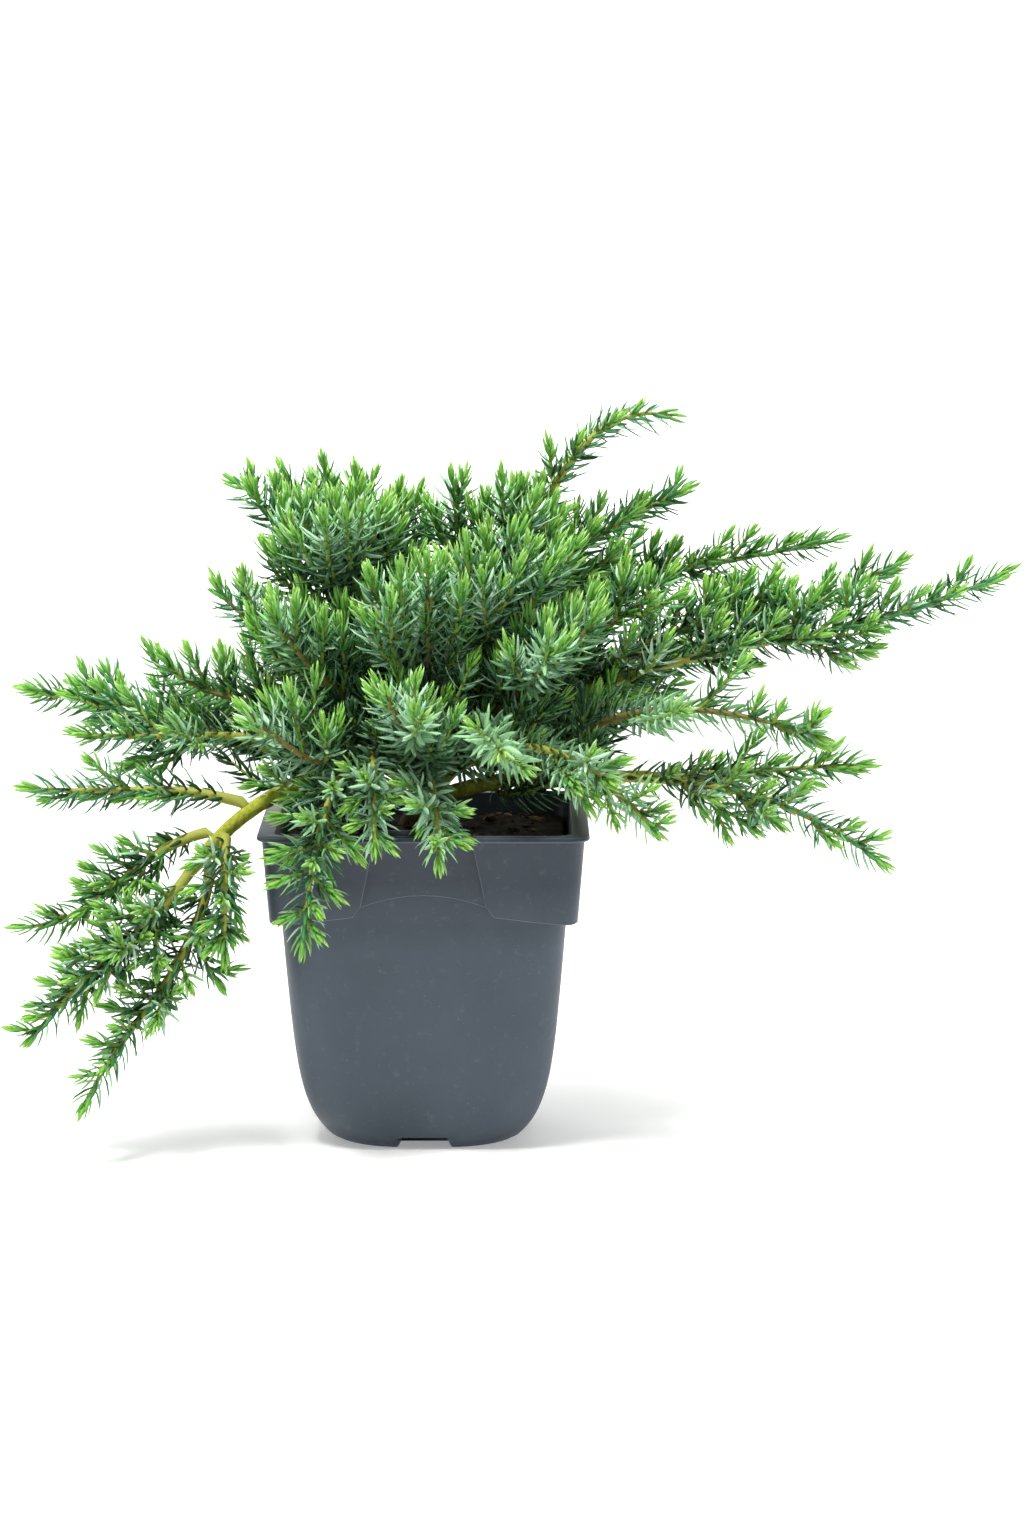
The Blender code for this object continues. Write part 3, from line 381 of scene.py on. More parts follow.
# Share of the length and of the half width at each ring of a needle
NEEDLE_STATIONS = ((0.0, 0.6), (0.36, 1.0), (0.74, 0.72))


def direction(azimuth, rise):
    """The unit vector of that azimuth and rise, in radians."""
    level = math.cos(rise)
    return Vector((level * math.cos(azimuth), level * math.sin(azimuth), math.sin(rise)))


def mix(a, b, share):
    return a + (b - a) * share


class Limb:
    """A round limb on a cubic curve, which leaves its start at one rise and arrives at another."""

    def __init__(self, start, tip, rises, radii):
        across = tip - start
        heading = math.atan2(across.y, across.x)
        rise_start, rise_end = (math.radians(r) for r in rises)
        pull = across.length * HANDLE
        first = start + direction(heading, rise_start) * pull
        second = tip - direction(heading, rise_end) * pull
        self.controls = (start, first, second, tip)
        self.radii = radii
        self.foot = None

    def point(self, share):
        a, b, c, d = self.controls
        rest = 1.0 - share
        return a * rest**3 + b * (3 * rest**2 * share) + c * (3 * rest * share**2) + d * share**3

    def tangent(self, share):
        a, b, c, d = self.controls
        rest = 1.0 - share
        along = (b - a) * rest**2 + (c - b) * (2 * rest * share) + (d - c) * share**2
        return along.normalized()

    def radius(self, share):
        return mix(*self.radii, share)

    def length(self, steps=16):
        points = [self.point(i / steps) for i in range(steps + 1)]
        return sum((b - a).length for a, b in zip(points, points[1:]))

    def samples(self, step):
        """Points along the limb with its radius there, about step apart."""
        count = max(2, round(self.length() / step))
        return [(self.point(i / count), self.radius(i / count)) for i in range(count + 1)]


def tip_of(spec):
    out = direction(math.radians(spec.azimuth), 0.0) * spec.reach
    return out + Vector((0.0, 0.0, spec.height))


def set_on(carrier, at, tip, rises, radii):
    """A limb whose flat root stands GAP clear of the limb that carries it, at its end or on its side."""
    base, along = carrier.point(at), carrier.tangent(at)
    if at == 1.0:
        start = base + along * GAP
        limb = Limb(start, tip, rises, radii)
        limb.controls = (start, start + along * (tip - start).length * HANDLE, *limb.controls[2:])
        return limb
    across = tip - base
    leaving = direction(math.atan2(across.y, across.x), math.radians(rises[0]))
    side = (leaving - along * leaving.dot(along)).normalized()
    tilt = abs(leaving.dot(along))
    start = base + side * (carrier.radius(at) + GAP + radii[0] * tilt)
    return Limb(start, tip, rises, radii)


def trunk_limb():
    foot = Vector((0.0, 0.0, SOIL_CROWN + GAP))
    top = foot + Vector((TRUNK_LEAN, 0.0, TRUNK_HEIGHT))
    return Limb(foot, top, TRUNK_RISES, (TRUNK_RADIUS, TRUNK_TOP_RADIUS))


def all_limbs():
    """The trunk and the boughs, and the stem of each mass, by name."""
    trunk = trunk_limb()
    boughs = {"trunk": trunk}
    for name, spec in BOUGHS.items():
        boughs[name] = set_on(trunk, spec.leaves, tip_of(spec), spec.rises, spec.radii)
    stems = {}
    for name, spec in MASSES.items():
        carrier = boughs[spec.bough]
        root = min(carrier.radius(spec.at) * ROOT_SHARE, ROOT_MOST)
        stems[name] = set_on(carrier, spec.at, tip_of(spec), spec.rises, (root, STEM_CORE_TIP))
    return boughs, stems


class Space:
    """The room that one mass keeps to: nearer its own stem than any other, clear of limbs and pot."""

    def __init__(self, name, boughs, stems):
        stem = stems[name]
        own = [point for point, _ in stem.samples(SITE_STEP)]
        self.tip, self.along = stem.point(1.0), stem.tangent(1.0)
        self.top = max(point.z for point in own) + ABOVE_MOST
        self.drop = 0.0
        self.own = self.tree(own)
        self.others = self.tree([p for n, s in stems.items() if n != name for p, _ in s.samples(SITE_STEP)])
        wood = [sample for limb in boughs.values() for sample in limb.samples(SITE_STEP / 2)]
        self.wood_radii = [radius for _, radius in wood]
        self.wood = self.tree([point for point, _ in wood])

    @staticmethod
    def tree(points):
        made = KDTree(len(points))
        for i, point in enumerate(points):
            made.insert(point, i)
        made.balance()
        return made

    def holds(self, point, thickness, margin=SPACE_MARGIN):
        """Whether a ball of that radius stays in the space."""
        own, other = self.own.find(point)[2], self.others.find(point)[2]
        if other - own < margin + 2 * thickness or point.z + thickness > PLANT_TOP:
            return False
        _, index, distance = self.wood.find(point)
        if distance < self.wood_radii[index] + thickness + 2 * GAP:
            return False
        return clear_of_pot(point, thickness)


class Anywhere:
    """The room round a bough: all that the pot leaves free, up to a height."""

    tip = along = Vector((0.0, 0.0, 0.0))
    top, drop = INNER_TOP, 0.0

    @staticmethod
    def holds(point, thickness, margin):
        return point.z + thickness < PLANT_TOP - INNER_MARGIN and clear_of_pot(point, thickness)


def clear_of_pot(point, thickness):
    room = thickness + 2 * GAP
    away = max(abs(point.x), abs(point.y))
    if away < LIP_HALF + room and point.z < TAB_TOP + room:
        return away < PANEL_HALF_BOTTOM - room and point.z > SOIL_CROWN + room
    return point.z > room


def frame_at(along):
    """Two unit vectors square to a direction, the first as level as can be."""
    side = along.cross(Vector((0.0, 0.0, 1.0)))
    if side.length < UPRIGHT:
        side = Vector((1.0, 0.0, 0.0))
    side.normalize()
    return side, side.cross(along).normalized()


def twig_limb(stem, share, roll, length, radii, lift=TWIG_LIFT):
    """A twig that leaves the stem at that share and roll, and turns up and outward as it grows."""
    along = stem.tangent(share)
    side, up = frame_at(along)
    angle = mix(TWIG_ANGLE_BASE, TWIG_ANGLE_TIP, share)
    out = along * math.cos(angle) + (side * math.cos(roll) + up * math.sin(roll)) * math.sin(angle)
    start = stem.point(share)
    turned = (out + along * TWIG_AHEAD + Vector((0.0, 0.0, lift))).normalized()
    tip = start + turned * length
    twig = Limb(start, tip, (0, 0), radii)
    pull = length * HANDLE
    twig.controls = (start, start + out * pull, start + turned * (length - pull * TWIG_END_PULL), tip)
    return twig


def twig_length(share, longest):
    """Twigs are longest at a third of the stem and shorten to its tip."""
    swelling = TWIG_SWELL * math.sin(math.pi * min(1.0, share * 1.5))
    return longest * (TWIG_BASE + swelling) * (1.0 - TWIG_TAPER * share**3)


def source_twigs(name, stem, spec, space):
    """The twigs that the model's source grows on a mass, with the same draws."""
    seeded = random.Random(name)
    spacing = DENSE_TWIG_SPACING if spec.dense else TWIG_SPACING
    count = max(2, round(stem.length() / spacing))
    roll = seeded.uniform(0.0, math.tau)
    twigs = []
    for i in range(count):
        share = mix(TWIG_FIRST, TWIG_LAST, (i + seeded.uniform(*PLACE_JITTER)) / count)
        roll += GOLDEN_ANGLE
        length = twig_length(share, spec.twig) * seeded.uniform(*TWIG_SIZES)
        core = min(TWIG_CORE, stem.radius(share) * 0.95)
        for shorter in TWIG_TRIES:
            twig = twig_limb(stem, share, roll, length * shorter, (core, core * CORE_TIP_SHARE))
            ahead = (twig.point(1.0) - space.tip).dot(space.along)
            if ahead < 0.0 and all(space.holds(twig.point(s), twig.radius(s)) for s in TWIG_TESTS):
                twigs.append(twig)
                break
    return twigs


def fits(limb, space):
    """Whether a shoot stays in its mass's space, from where it has left its carrier to its tip."""
    tip = limb.point(1.0)
    if (tip - space.tip).dot(space.along) > AHEAD_MOST or tip.z > space.top - space.drop:
        return False
    return all(space.holds(limb.point(s), SHOOT_RADIUS, FINE_MARGIN) for s in SHOOT_TESTS)


class Crowd:
    """Where shoots already grow, each under a number, so that the next ones keep a brush's width away."""

    def __init__(self):
        self.cells = {}
        self.newest = 0

    @staticmethod
    def key(point):
        return tuple(math.floor(value / CROWD_CELL) for value in point)

    def add(self, limb, first=CROWD_FIRST):
        self.newest += 1
        limb.number = self.newest
        for i in range(CROWD_STEPS + 1):
            point = limb.point(mix(first, 1.0, i / CROWD_STEPS))
            self.cells.setdefault(self.key(point), []).append((point, limb.number))

    def free(self, point, room, carrier_number):
        x, y, z = self.key(point)
        for cell in itertools.product((x - 1, x, x + 1), (y - 1, y, y + 1), (z - 1, z, z + 1)):
            for other, number in self.cells.get(cell, ()):
                if number != carrier_number and (other - point).length < room:
                    return False
        return True


def try_shoot(carrier, number, share, roll, length, habit, space, crowd):
    """A shoot that fits its space and has room among the others, shorter if it must be."""
    radii = (SHOOT_RADIUS, SHOOT_TIP_RADIUS)
    for shorter in SHOOT_TRIES:
        if length * shorter < SHOOT_LEAST:
            return None
        shoot = twig_limb(carrier, share, roll, length * shorter, radii, habit.lift)
        if fits(shoot, space) and all(crowd.free(shoot.point(s), habit.room, number) for s in CROWD_TESTS):
            crowd.add(shoot)
            return shoot
    return None


def side_shoots(bearer, habit, space, crowd, seeded):
    """Shoots round a twig that is long enough to bear them."""
    full = bearer.length()
    if full < habit.bearer_least:
        return []
    grown = []
    count = max(2, round(full * SIDE_STRETCH / SIDE_SPACING))
    roll = seeded.uniform(0.0, math.tau)
    for i in range(count):
        share = mix(SIDE_FIRST, SIDE_LAST, (i + seeded.uniform(*PLACE_JITTER)) / count)
        roll += GOLDEN_ANGLE
        space.drop = seeded.uniform(0.0, DROP_MOST)
        length = max(full * mix(habit.share, SIDE_TIP_SHARE, share), habit.least)
        length *= seeded.uniform(*SIDE_SIZES)
        shoot = try_shoot(bearer, bearer.number, share, roll, length, habit, space, crowd)
        if shoot:
            grown.append(shoot)
    return grown


def fine_shoots(name, stem, spec, space, crowd):
    """The source's twigs, shoots between them, and side shoots on all that are long enough."""
    seeded = random.Random(name + " fine")
    habit = DENSE if spec.dense else OPEN
    crowd.add(stem, STEM_CROWD_FIRST)
    twigs = source_twigs(name, stem, spec, space)
    for twig in twigs:
        twig.radii = (SHOOT_RADIUS * TWIG_WIDER, SHOOT_TIP_RADIUS)
        crowd.add(twig)
    count = max(4, round(stem.length() / FINE_SPACING))
    roll = seeded.uniform(0.0, math.tau)
    for i in range(count, 0, -1):
        share = mix(FINE_FIRST, FINE_LAST, (i - seeded.uniform(*PLACE_JITTER)) / count)
        roll += GOLDEN_ANGLE
        length = twig_length(share, spec.twig) * seeded.uniform(*FINE_SIZES) * habit.size
        space.drop = seeded.uniform(0.0, DROP_MOST)
        shoot = try_shoot(stem, stem.number, share, roll, length, habit, space, crowd)
        if shoot:
            twigs.append(shoot)
    shoots, bearers = [], twigs
    for _ in range(habit.orders):
        grown = [side_shoots(bearer, habit, space, crowd, seeded) for bearer in bearers]
        bearers = sum(grown, [])
        shoots += bearers
    return twigs + shoots


def bough_shoots(name, bough, crowd):
    """Short shoots on a bough with a few side shoots. Each leaves out of account the newest shoot."""
    seeded = random.Random(name + " inner")
    crowd.newest += 1
    shoots = []
    count = round(bough.length() / FINE_SPACING)
    roll = seeded.uniform(0.0, math.tau)
    for i in range(count):
        share = mix(SIDE_FIRST, INNER_LAST.get(name, INNER_LAST_ELSE), (i + 0.5) / count)
        roll += GOLDEN_ANGLE
        length = INNER_SHOOT * seeded.uniform(*INNER_SIZES)
        shoot = try_shoot(bough, crowd.newest, share, roll, length, INNER, Anywhere, crowd)
        if not shoot:
            continue
        shoots.append(shoot)
        for place in INNER_SIDE_PLACES:
            roll += GOLDEN_ANGLE
            shorter = length * INNER_SIDE_SHARE
            side = try_shoot(shoot, shoot.number, place, roll, shorter, INNER, Anywhere, crowd)
            if side:
                shoots.append(side)
    return shoots


def needles_on(limb, first, tint, space, seeded, longest):
    """Whorls of needles up a shoot: each as root, direction, inner side, length, half width and kind."""
    full = limb.length()
    needles = []
    place = first * full
    turn = seeded.uniform(0.0, math.tau)
    while place < full:
        share = place / full
        left = full - place
        along = limb.tangent(share)
        side, up = frame_at(along)
        closing = max(0.0, 1.0 - left / TIP_LENGTH)
        opening = min(1.0, (place - first * full) / OPENING_LENGTH)
        angle = mix(NEEDLE_ANGLE_BASE, NEEDLE_ANGLE_TIP, closing**1.3)
        length = longest * mix(1.0, NEEDLE_TIP_SHARE, closing) * mix(NEEDLE_BASE_SHARE, 1.0, opening)
        kind = tint
        # Painted shade: needles near a shoot's foot mostly take the darkest kind
        if share < PAINTED_SHADE_SHARE and seeded.random() < PAINTED_SHADE_ODDS:
            kind = "old"
        if kind != "old" and left < YOUNG_LENGTH:
            kind = "tip" if left < BUD_LENGTH else "young"
        for k in range(3):
            roll = turn + k * math.tau / 3 + seeded.uniform(-NEEDLE_TURN_JITTER, NEEDLE_TURN_JITTER)
            lean = angle + seeded.uniform(-NEEDLE_ANGLE_JITTER, NEEDLE_ANGLE_JITTER)
            across = side * math.cos(roll) + up * math.sin(roll)
            out = along * math.cos(lean) + across * math.sin(lean)
            inner = along * math.sin(lean) - across * math.cos(lean)
            root = limb.point(share) + across * limb.radius(share) * BARK_DEPTH
            size = length * seeded.uniform(*NEEDLE_SIZES)
            if not space.holds(root + out * size, 0.0, NEEDLE_MARGIN):
                size *= NEEDLE_SHORTER
                if not space.holds(root + out * size, 0.0, NEEDLE_MARGIN):
                    continue
            width = NEEDLE_HALF_WIDTH * seeded.uniform(*NEEDLE_WIDTHS) * mix(1.0, NEEDLE_TIP_WIDTH, closing)
            needles.append((root, out, inner, size, width, kind))
        turn += WHORL_TURN
        place += WHORL_SPACING * seeded.uniform(*WHORL_JITTER) * mix(1.0, WHORL_TIP_SHARE, closing)
    return needles


def smooth_mesh(name, points, faces, slots=None):
    """A smooth mesh, with a material slot for each face where slots are given."""
    mesh = bpy.data.meshes.new(name)
    mesh.from_pydata(points, [], faces)
    if slots:
        mesh.polygons.foreach_set("material_index", slots)
    mesh.shade_smooth()
    return mesh


def ring_faces(base, around, rings, peak=True):
    """Faces round a stack of rings of points, closed below, and above by a peak or flat."""
    last = base + (rings - 1) * around
    after = [(i + 1) % around for i in range(around)]
    faces = []
    for low in range(base, last, around):
        faces += [(low + i, low + j, low + around + j, low + around + i) for i, j in enumerate(after)]
    faces.append(tuple(range(base + around - 1, base - 1, -1)))
    if peak:
        return faces + [(last + i, last + j, last + around) for i, j in enumerate(after)]
    return faces + [tuple(range(last, last + around))]


def needle_mesh(name, needles):
    """Needles in one mesh: each a four-sided blade with a creased inner face, a keel and a sharp tip."""
    roots, outs, inners, lengths, widths, kinds = zip(*needles)
    roots, outs, inners = (np.array([value[:] for value in values]) for values in (roots, outs, inners))
    lengths, widths = np.array(lengths)[:, None], np.array(widths)[:, None]
    sides = np.cross(outs, inners)
    rings = []
    for share, wide in NEEDLE_STATIONS:
        middle = roots + outs * lengths * share + inners * lengths * NEEDLE_CURL * share**2
        half = widths * wide
        rings += [middle - sides * half, middle + inners * half * NEEDLE_CREASE, middle + sides * half]
        rings.append(middle - inners * half * NEEDLE_KEEL)
    tip = roots + outs * lengths + inners * lengths * NEEDLE_CURL
    points = np.stack(rings + [tip], axis=1)
    each = points.shape[1]
    blade = ring_faces(0, 4, len(NEEDLE_STATIONS))
    faces = [tuple(i * each + corner for corner in face) for i in range(len(needles)) for face in blade]
    round_ring = [0, 0, 1, 1]
    lower = round_ring * (len(NEEDLE_STATIONS) - 1) + [1] + round_ring
    order = list(NEEDLE_LOOKS)
    slots = [2 * order.index(kind) + side for kind in kinds for side in lower]
    return smooth_mesh(name, points.reshape(-1, 3), faces, slots)


def tube_mesh(name, limbs, sides, step, kinds, relief=None):
    """Closed tubes along the limbs, with a ring about every step, a pointed tip and one slot each."""
    points, faces, slots = [], [], []
    angles = [math.tau * k / sides for k in range(sides)]

    def outwards(side, along):
        """The way out from the axis at each angle."""
        up = side.cross(along)
        return [side * math.cos(angle) - up * math.sin(angle) for angle in angles]

    for limb, slot in zip(limbs, kinds):
        count = max(3, round(limb.length() / step))
        base = len(points)
        side = frame_at(limb.tangent(0.0))[0]
        if limb.foot is not None:
            for out in outwards(side, limb.tangent(0.0)):
                points.append(limb.foot + out * limb.radius(0.0) * TUBE_FOOT)
        for i in range(count + 1):
            share = i / count
            middle, along, radius = limb.point(share), limb.tangent(share), limb.radius(share)
            side = (side - along * side.dot(along)).normalized()
            for angle, out in zip(angles, outwards(side, along)):
                grown = radius * (relief(limb, share, angle, middle + out * radius) if relief else 1.0)
                points.append(middle + out * grown)
        tube = ring_faces(base, sides, (len(points) - base) // sides)
        points.append(limb.point(1.0) + limb.tangent(1.0) * limb.radius(1.0) * TUBE_TIP)
        faces += tube
        slots += [slot] * len(tube)
    return smooth_mesh(name, points, faces, slots)


def fill(tree, node, **inputs):
    """Sets the inputs of a node, or links them to an output. An underscore stands for a space."""
    for name, value in inputs.items():
        socket = node.inputs[name.replace("_", " ")]
        if isinstance(value, bpy.types.NodeSocket):
            tree.links.new(value, socket)
        else:
            socket.default_value = value


def shaded(name, **inputs):
    """A material whose Principled shader has those inputs."""
    made = bpy.data.materials.new(name)
    made.use_nodes = True
    fill(made.node_tree, made.node_tree.nodes["Principled BSDF"], **inputs)
    return made


def plain(name, colour, roughness):
    return shaded(name, Base_Color=(*colour, 1.0), Roughness=roughness, Specular_IOR_Level=0.25)


def put(name, data):
    """An object with that data in the scene."""
    made = bpy.data.objects.new(name, data)
    bpy.context.scene.collection.objects.link(made)
    return made


def piece(name, mesh, materials, slot, *replaced):
    """An object that rides on the one body and stands for the nodes named."""
    made = put(name, mesh)
    for used in materials:
        mesh.materials.append(used)
    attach(made, "root")
    if replaced:
        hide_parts(*replaced)


class Nodes:
    """Short calls for building a procedural material on the Principled shader."""

    def __init__(self, name):
        self.material = shaded(name)
        self.tree = self.material.node_tree
        self.place = self.tree.nodes.new("ShaderNodeTexCoord").outputs["Object"]

    def add(self, kind, output, **inputs):
        made = self.tree.nodes.new("ShaderNode" + kind)
        fill(self.tree, made, **inputs)
        return made.outputs[output]

    def stretched(self, x, y, z):
        return self.add("Mapping", "Vector", Vector=self.place, Scale=(x, y, z))

    def noise(self, scale, detail, roughness, place=None, distortion=0.0):
        shape = dict(Scale=scale, Detail=detail, Roughness=roughness, Distortion=distortion)
        return self.add("TexNoise", "Fac", Vector=place or self.place, **shape)

    def ramp(self, source, *stops):
        """A colour ramp of the source, with stops of position and colour."""
        made = self.tree.nodes.new("ShaderNodeValToRGB")
        colours = made.color_ramp.elements
        while len(colours) < len(stops):
            colours.new(0.5)
        for element, (position, colour) in zip(colours, stops):
            element.position = position
            element.color = (*colour, 1.0)
        fill(self.tree, made, Fac=source)
        return made.outputs["Color"]

    def levels(self, source, low, high, start=0.0, end=1.0):
        """A ramp between two greys."""
        return self.ramp(source, (low, (start,) * 3), (high, (end,) * 3))

    def blend(self, share, first, second, how="MIX"):
        """One colour laid over another. The sockets for share and colours are known by their places."""
        made = self.tree.nodes.new("ShaderNodeMix")
        made.data_type = "RGBA"
        made.blend_type = how
        for socket, source in ((0, share), (6, first), (7, second)):
            if isinstance(source, bpy.types.NodeSocket):
                self.tree.links.new(source, made.inputs[socket])
            else:
                made.inputs[socket].default_value = source
        return made.outputs[2]

    def bump(self, source, distance, strength):
        return self.add("Bump", "Normal", Height=source, Distance=distance, Strength=strength)

    def finish(self, colour, roughness, normal, specular):
        look = dict(Base_Color=colour, Roughness=roughness, Normal=normal, Specular_IOR_Level=specular)
        fill(self.tree, self.tree.nodes["Principled BSDF"], **look)
        return self.material


def bark_material(name, dark, warm, pale):
    """Flaky bark: long streaks of three browns, with cracks."""
    made = Nodes(name)
    streaks = made.noise(260.0, 5.0, 0.62, made.stretched(1.0, 1.0, 0.22), 0.6)
    flecks = made.noise(900.0, 3.0, 0.6)
    colour = made.ramp(streaks, (0.3, dark), (0.5, warm), (0.7, pale))
    colour = made.blend(0.35, colour, made.ramp(flecks, (0.35, dark), (0.65, pale)))
    return made.finish(colour, 0.78, made.bump(streaks, 0.0008, 0.8), 0.25)


def plastic_material(name, dark, pale):
    """Slate-grey moulded plastic with fine pale specks, faint mottling and a soft grain, darkened over the
    collar by a painted shadow of the foliage.
    """
    made = Nodes(name)
    mottle = made.noise(42.0, 4.0, 0.6)
    specks = made.levels(made.noise(1500.0, 2.0, 0.5), 0.71, 0.78, end=0.28)
    dust = made.levels(made.noise(300.0, 6.0, 0.7), 0.58, 0.8, end=0.22)
    colour = made.ramp(mottle, (0.3, dark), (0.7, pale))
    # Painted shadow: the colour darkens from 58 mm up, in full at 78 mm, standing in for the foliage's shade
    # on the collar
    height = made.add("SeparateXYZ", "Z", Vector=made.stretched(10.0, 10.0, 10.0))
    painted_shadow = made.ramp(height, (0.58, (1.0, 1.0, 1.0)), (0.78, COLLAR_PAINTED_SHADOW))
    colour = made.blend(1.0, colour, painted_shadow, "MULTIPLY")
    colour = made.blend(specks, colour, (0.3, 0.33, 0.35, 1.0))
    colour = made.blend(dust, colour, (0.22, 0.24, 0.25, 1.0))
    roughness = made.levels(mottle, 0.3, 0.7, 0.4, 0.5)
    grain = made.bump(made.noise(700.0, 3.0, 0.5), 0.00012, 0.5)
    return made.finish(colour, roughness, grain, 0.22)


def soil_material():
    """Dark peat with brown crumbs."""
    made = Nodes("potting_mix")
    crumbs = made.noise(420.0, 6.0, 0.7)
    lumps = made.noise(130.0, 4.0, 0.6)
    peat, fibre, crumb = (0.01, 0.007, 0.005), (0.034, 0.021, 0.013), (0.11, 0.062, 0.034)
    colour = made.ramp(crumbs, (0.32, peat), (0.55, fibre), (0.72, crumb))
    shades = made.ramp(lumps, (0.4, (0.012, 0.008, 0.006)), (0.7, (0.06, 0.034, 0.02)))
    return made.finish(made.blend(0.3, colour, shades), 0.92, made.bump(crumbs, 0.0012, 0.9), 0.2)


def body_half(z):
    return FOOT_HALF + BODY_SLOPE * z + BODY_BULGE * (1.0 - math.exp(-z / BODY_BULGE_HEIGHT))


def body_corner(z):
    return BODY_CORNER + FOOT_CORNER_EXTRA * math.exp(-z / FOOT_CORNER_HEIGHT)


def rounded_square(half, corner, steps, side_steps=1):
    """The points of a rounded square, anticlockwise, with steps segments in each corner."""
    points = []
    spread = half - corner
    for quarter in range(4):
        turn = quarter * math.pi / 2
        towards = math.pi / 4 + turn
        away = spread * math.sqrt(2)
        centre = Vector((away * math.cos(towards), away * math.sin(towards)))
        for i in range(steps + 1):
            angle = turn + i / steps * math.pi / 2
            points.append(centre + Vector((math.cos(angle), math.sin(angle))) * corner)
        end = points[-1]
        along = Vector((-math.sin(turn + math.pi / 2), math.cos(turn + math.pi / 2)))
        points += [end + along * (2 * spread * i / side_steps) for i in range(1, side_steps)]
    return points


def skin(name, rings, peak=None):
    """A closed mesh through rings of points, from its bottom up to a flat top or to a peak."""
    points = [point for ring in rings for point in ring] + ([peak] if peak else [])
    return smooth_mesh(name, points, ring_faces(0, len(rings[0]), len(rings), peak is not None))


def square_rings(sections, *steps):
    """Rounded squares as rings of points, each given as height, half width and corner radius."""
    return [[(*point, z) for point in rounded_square(half, corner, *steps)] for z, half, corner in sections]


def loft(name, sections):
    """A closed solid through rounded squares."""
    return put(name, skin(name, square_rings(sections, CORNER_STEPS)))


def body_sections(inset, bottom, top, count):
    """Sections of the pot's body, closer together near the foot, where its side curves most."""
    heights = [mix(bottom, top, (i / count) ** 2) for i in range(count + 1)]
    return [(z, body_half(z) - inset, body_corner(z) - inset) for z in heights]


def collar_part(name, bottom, half_bottom, half_top):
    """A flaring ring of the collar, filled, from that height up to the collar's top."""
    middle = ((bottom + COLLAR_TOP) / 2, (half_bottom + half_top) / 2)
    rows = [(bottom, half_bottom), middle, (COLLAR_TOP, half_top)]
    return loft(name, [(z, half, COLLAR_CORNER) for z, half in rows])


def evaluated_mesh(item):
    bpy.context.view_layer.update()
    return bpy.data.meshes.new_from_object(item.evaluated_get(bpy.context.evaluated_depsgraph_get()))


def prism(name, half, depth):
    """A solid along Y, from the right half of an outline in X and Z that is listed upwards."""
    outline = half + [(-x, z) for x, z in reversed(half) if x > 0.0]
    return put(name, skin(name, [[(x, y, z) for x, z in outline] for y in (depth / 2, -depth / 2)]))


def combine(target, other, operation, quarters=1, away=0.0):
    """Joins a solid to the target or cuts it away, at each quarter turn and away from the axis."""
    for quarter in range(quarters):
        turn = quarter * math.pi / 2
        other.location = (away * math.sin(turn), -away * math.cos(turn), 0.0)
        other.rotation_euler = (0.0, 0.0, turn)
        change = target.modifiers.new(operation.lower(), "BOOLEAN")
        change.operation = operation
        change.solver = "MANIFOLD"
        change.object = other
        mesh = evaluated_mesh(target)
        target.modifiers.clear()
        target.data = mesh
    bpy.data.objects.remove(other)


def collar_blocks():
    """Four corner blocks, whose lower edges turn up to the panel between them."""
    window = [
        (LIP_HALF + CUT_PAST / 2, COLLAR_BOTTOM - CUT_PAST),
        (LIP_HALF + CUT_PAST / 2, COLLAR_BOTTOM + BLOCK_END_RISE),
        (BLOCK_EDGE_MIDDLE, COLLAR_BOTTOM + BLOCK_EDGE_RISE),
        (PANEL_HALF_WIDTH_BOTTOM + BLOCK_TURN, BLOCK_EDGE_HEIGHT - BLOCK_DIP),
        (PANEL_HALF_WIDTH_BOTTOM, BLOCK_EDGE_HEIGHT + CUT_PAST / 2),
        (PANEL_HALF_WIDTH_TOP, COLLAR_TOP + CUT_PAST),
    ]
    blocks = collar_part("blocks", COLLAR_BOTTOM, COLLAR_HALF_BOTTOM, COLLAR_HALF_TOP)
    combine(blocks, prism("window", window, CUT_LENGTH), "DIFFERENCE", 2)
    return blocks


def collar_panels():
    """The recessed panels between the blocks, which end in an arch."""
    arch = [(LIP_HALF, ARCH_FOOT - 2 * CUT_PAST)]
    for i in range(ARCH_STEPS + 1):
        spread = ARCH_SPREAD * (1.0 - i / ARCH_STEPS)
        arch.append((PANEL_HALF_WIDTH_BOTTOM * spread, mix(ARCH_CROWN, ARCH_FOOT, spread**2)))
    panels = collar_part("panels", ARCH_FOOT - PANEL_BELOW, PANEL_HALF_BOTTOM, PANEL_HALF_TOP)
    combine(panels, prism("arch", arch, CUT_LENGTH), "DIFFERENCE", 2)
    return panels


def pot_lip():
    corner = COLLAR_CORNER + LIP_CORNER_EXTRA
    rows = [(LIP_BOTTOM, LIP_ROUND), (LIP_BOTTOM + LIP_ROUND, 0.0), (POT_HEIGHT, LIP_ROUND / 2)]
    return loft("lip", [(z, LIP_HALF - inset, corner) for z, inset in rows])


def pot_inside():
    hollow = body_sections(WALL, FLOOR_TOP, ARCH_FOOT - SHOULDER_BELOW, INSIDE_ROWS)
    corner = COLLAR_CORNER - WALL * 0.5
    hollow.append((ARCH_FOOT + SHOULDER_ABOVE, PANEL_HALF_BOTTOM - WALL, corner))
    hollow.append((POT_HEIGHT + RIM_PAST, PANEL_HALF_TOP - WALL, corner))
    return loft("inside", hollow)


def label_tab():
    side = [(TAB_HALF_WIDTH, LIP_BOTTOM), (TAB_HALF_WIDTH, TAB_TOP - TAB_CHAMFER)]
    return prism("tab", side + [(TAB_HALF_WIDTH - TAB_CHAMFER, TAB_TOP)], TAB_THICK)


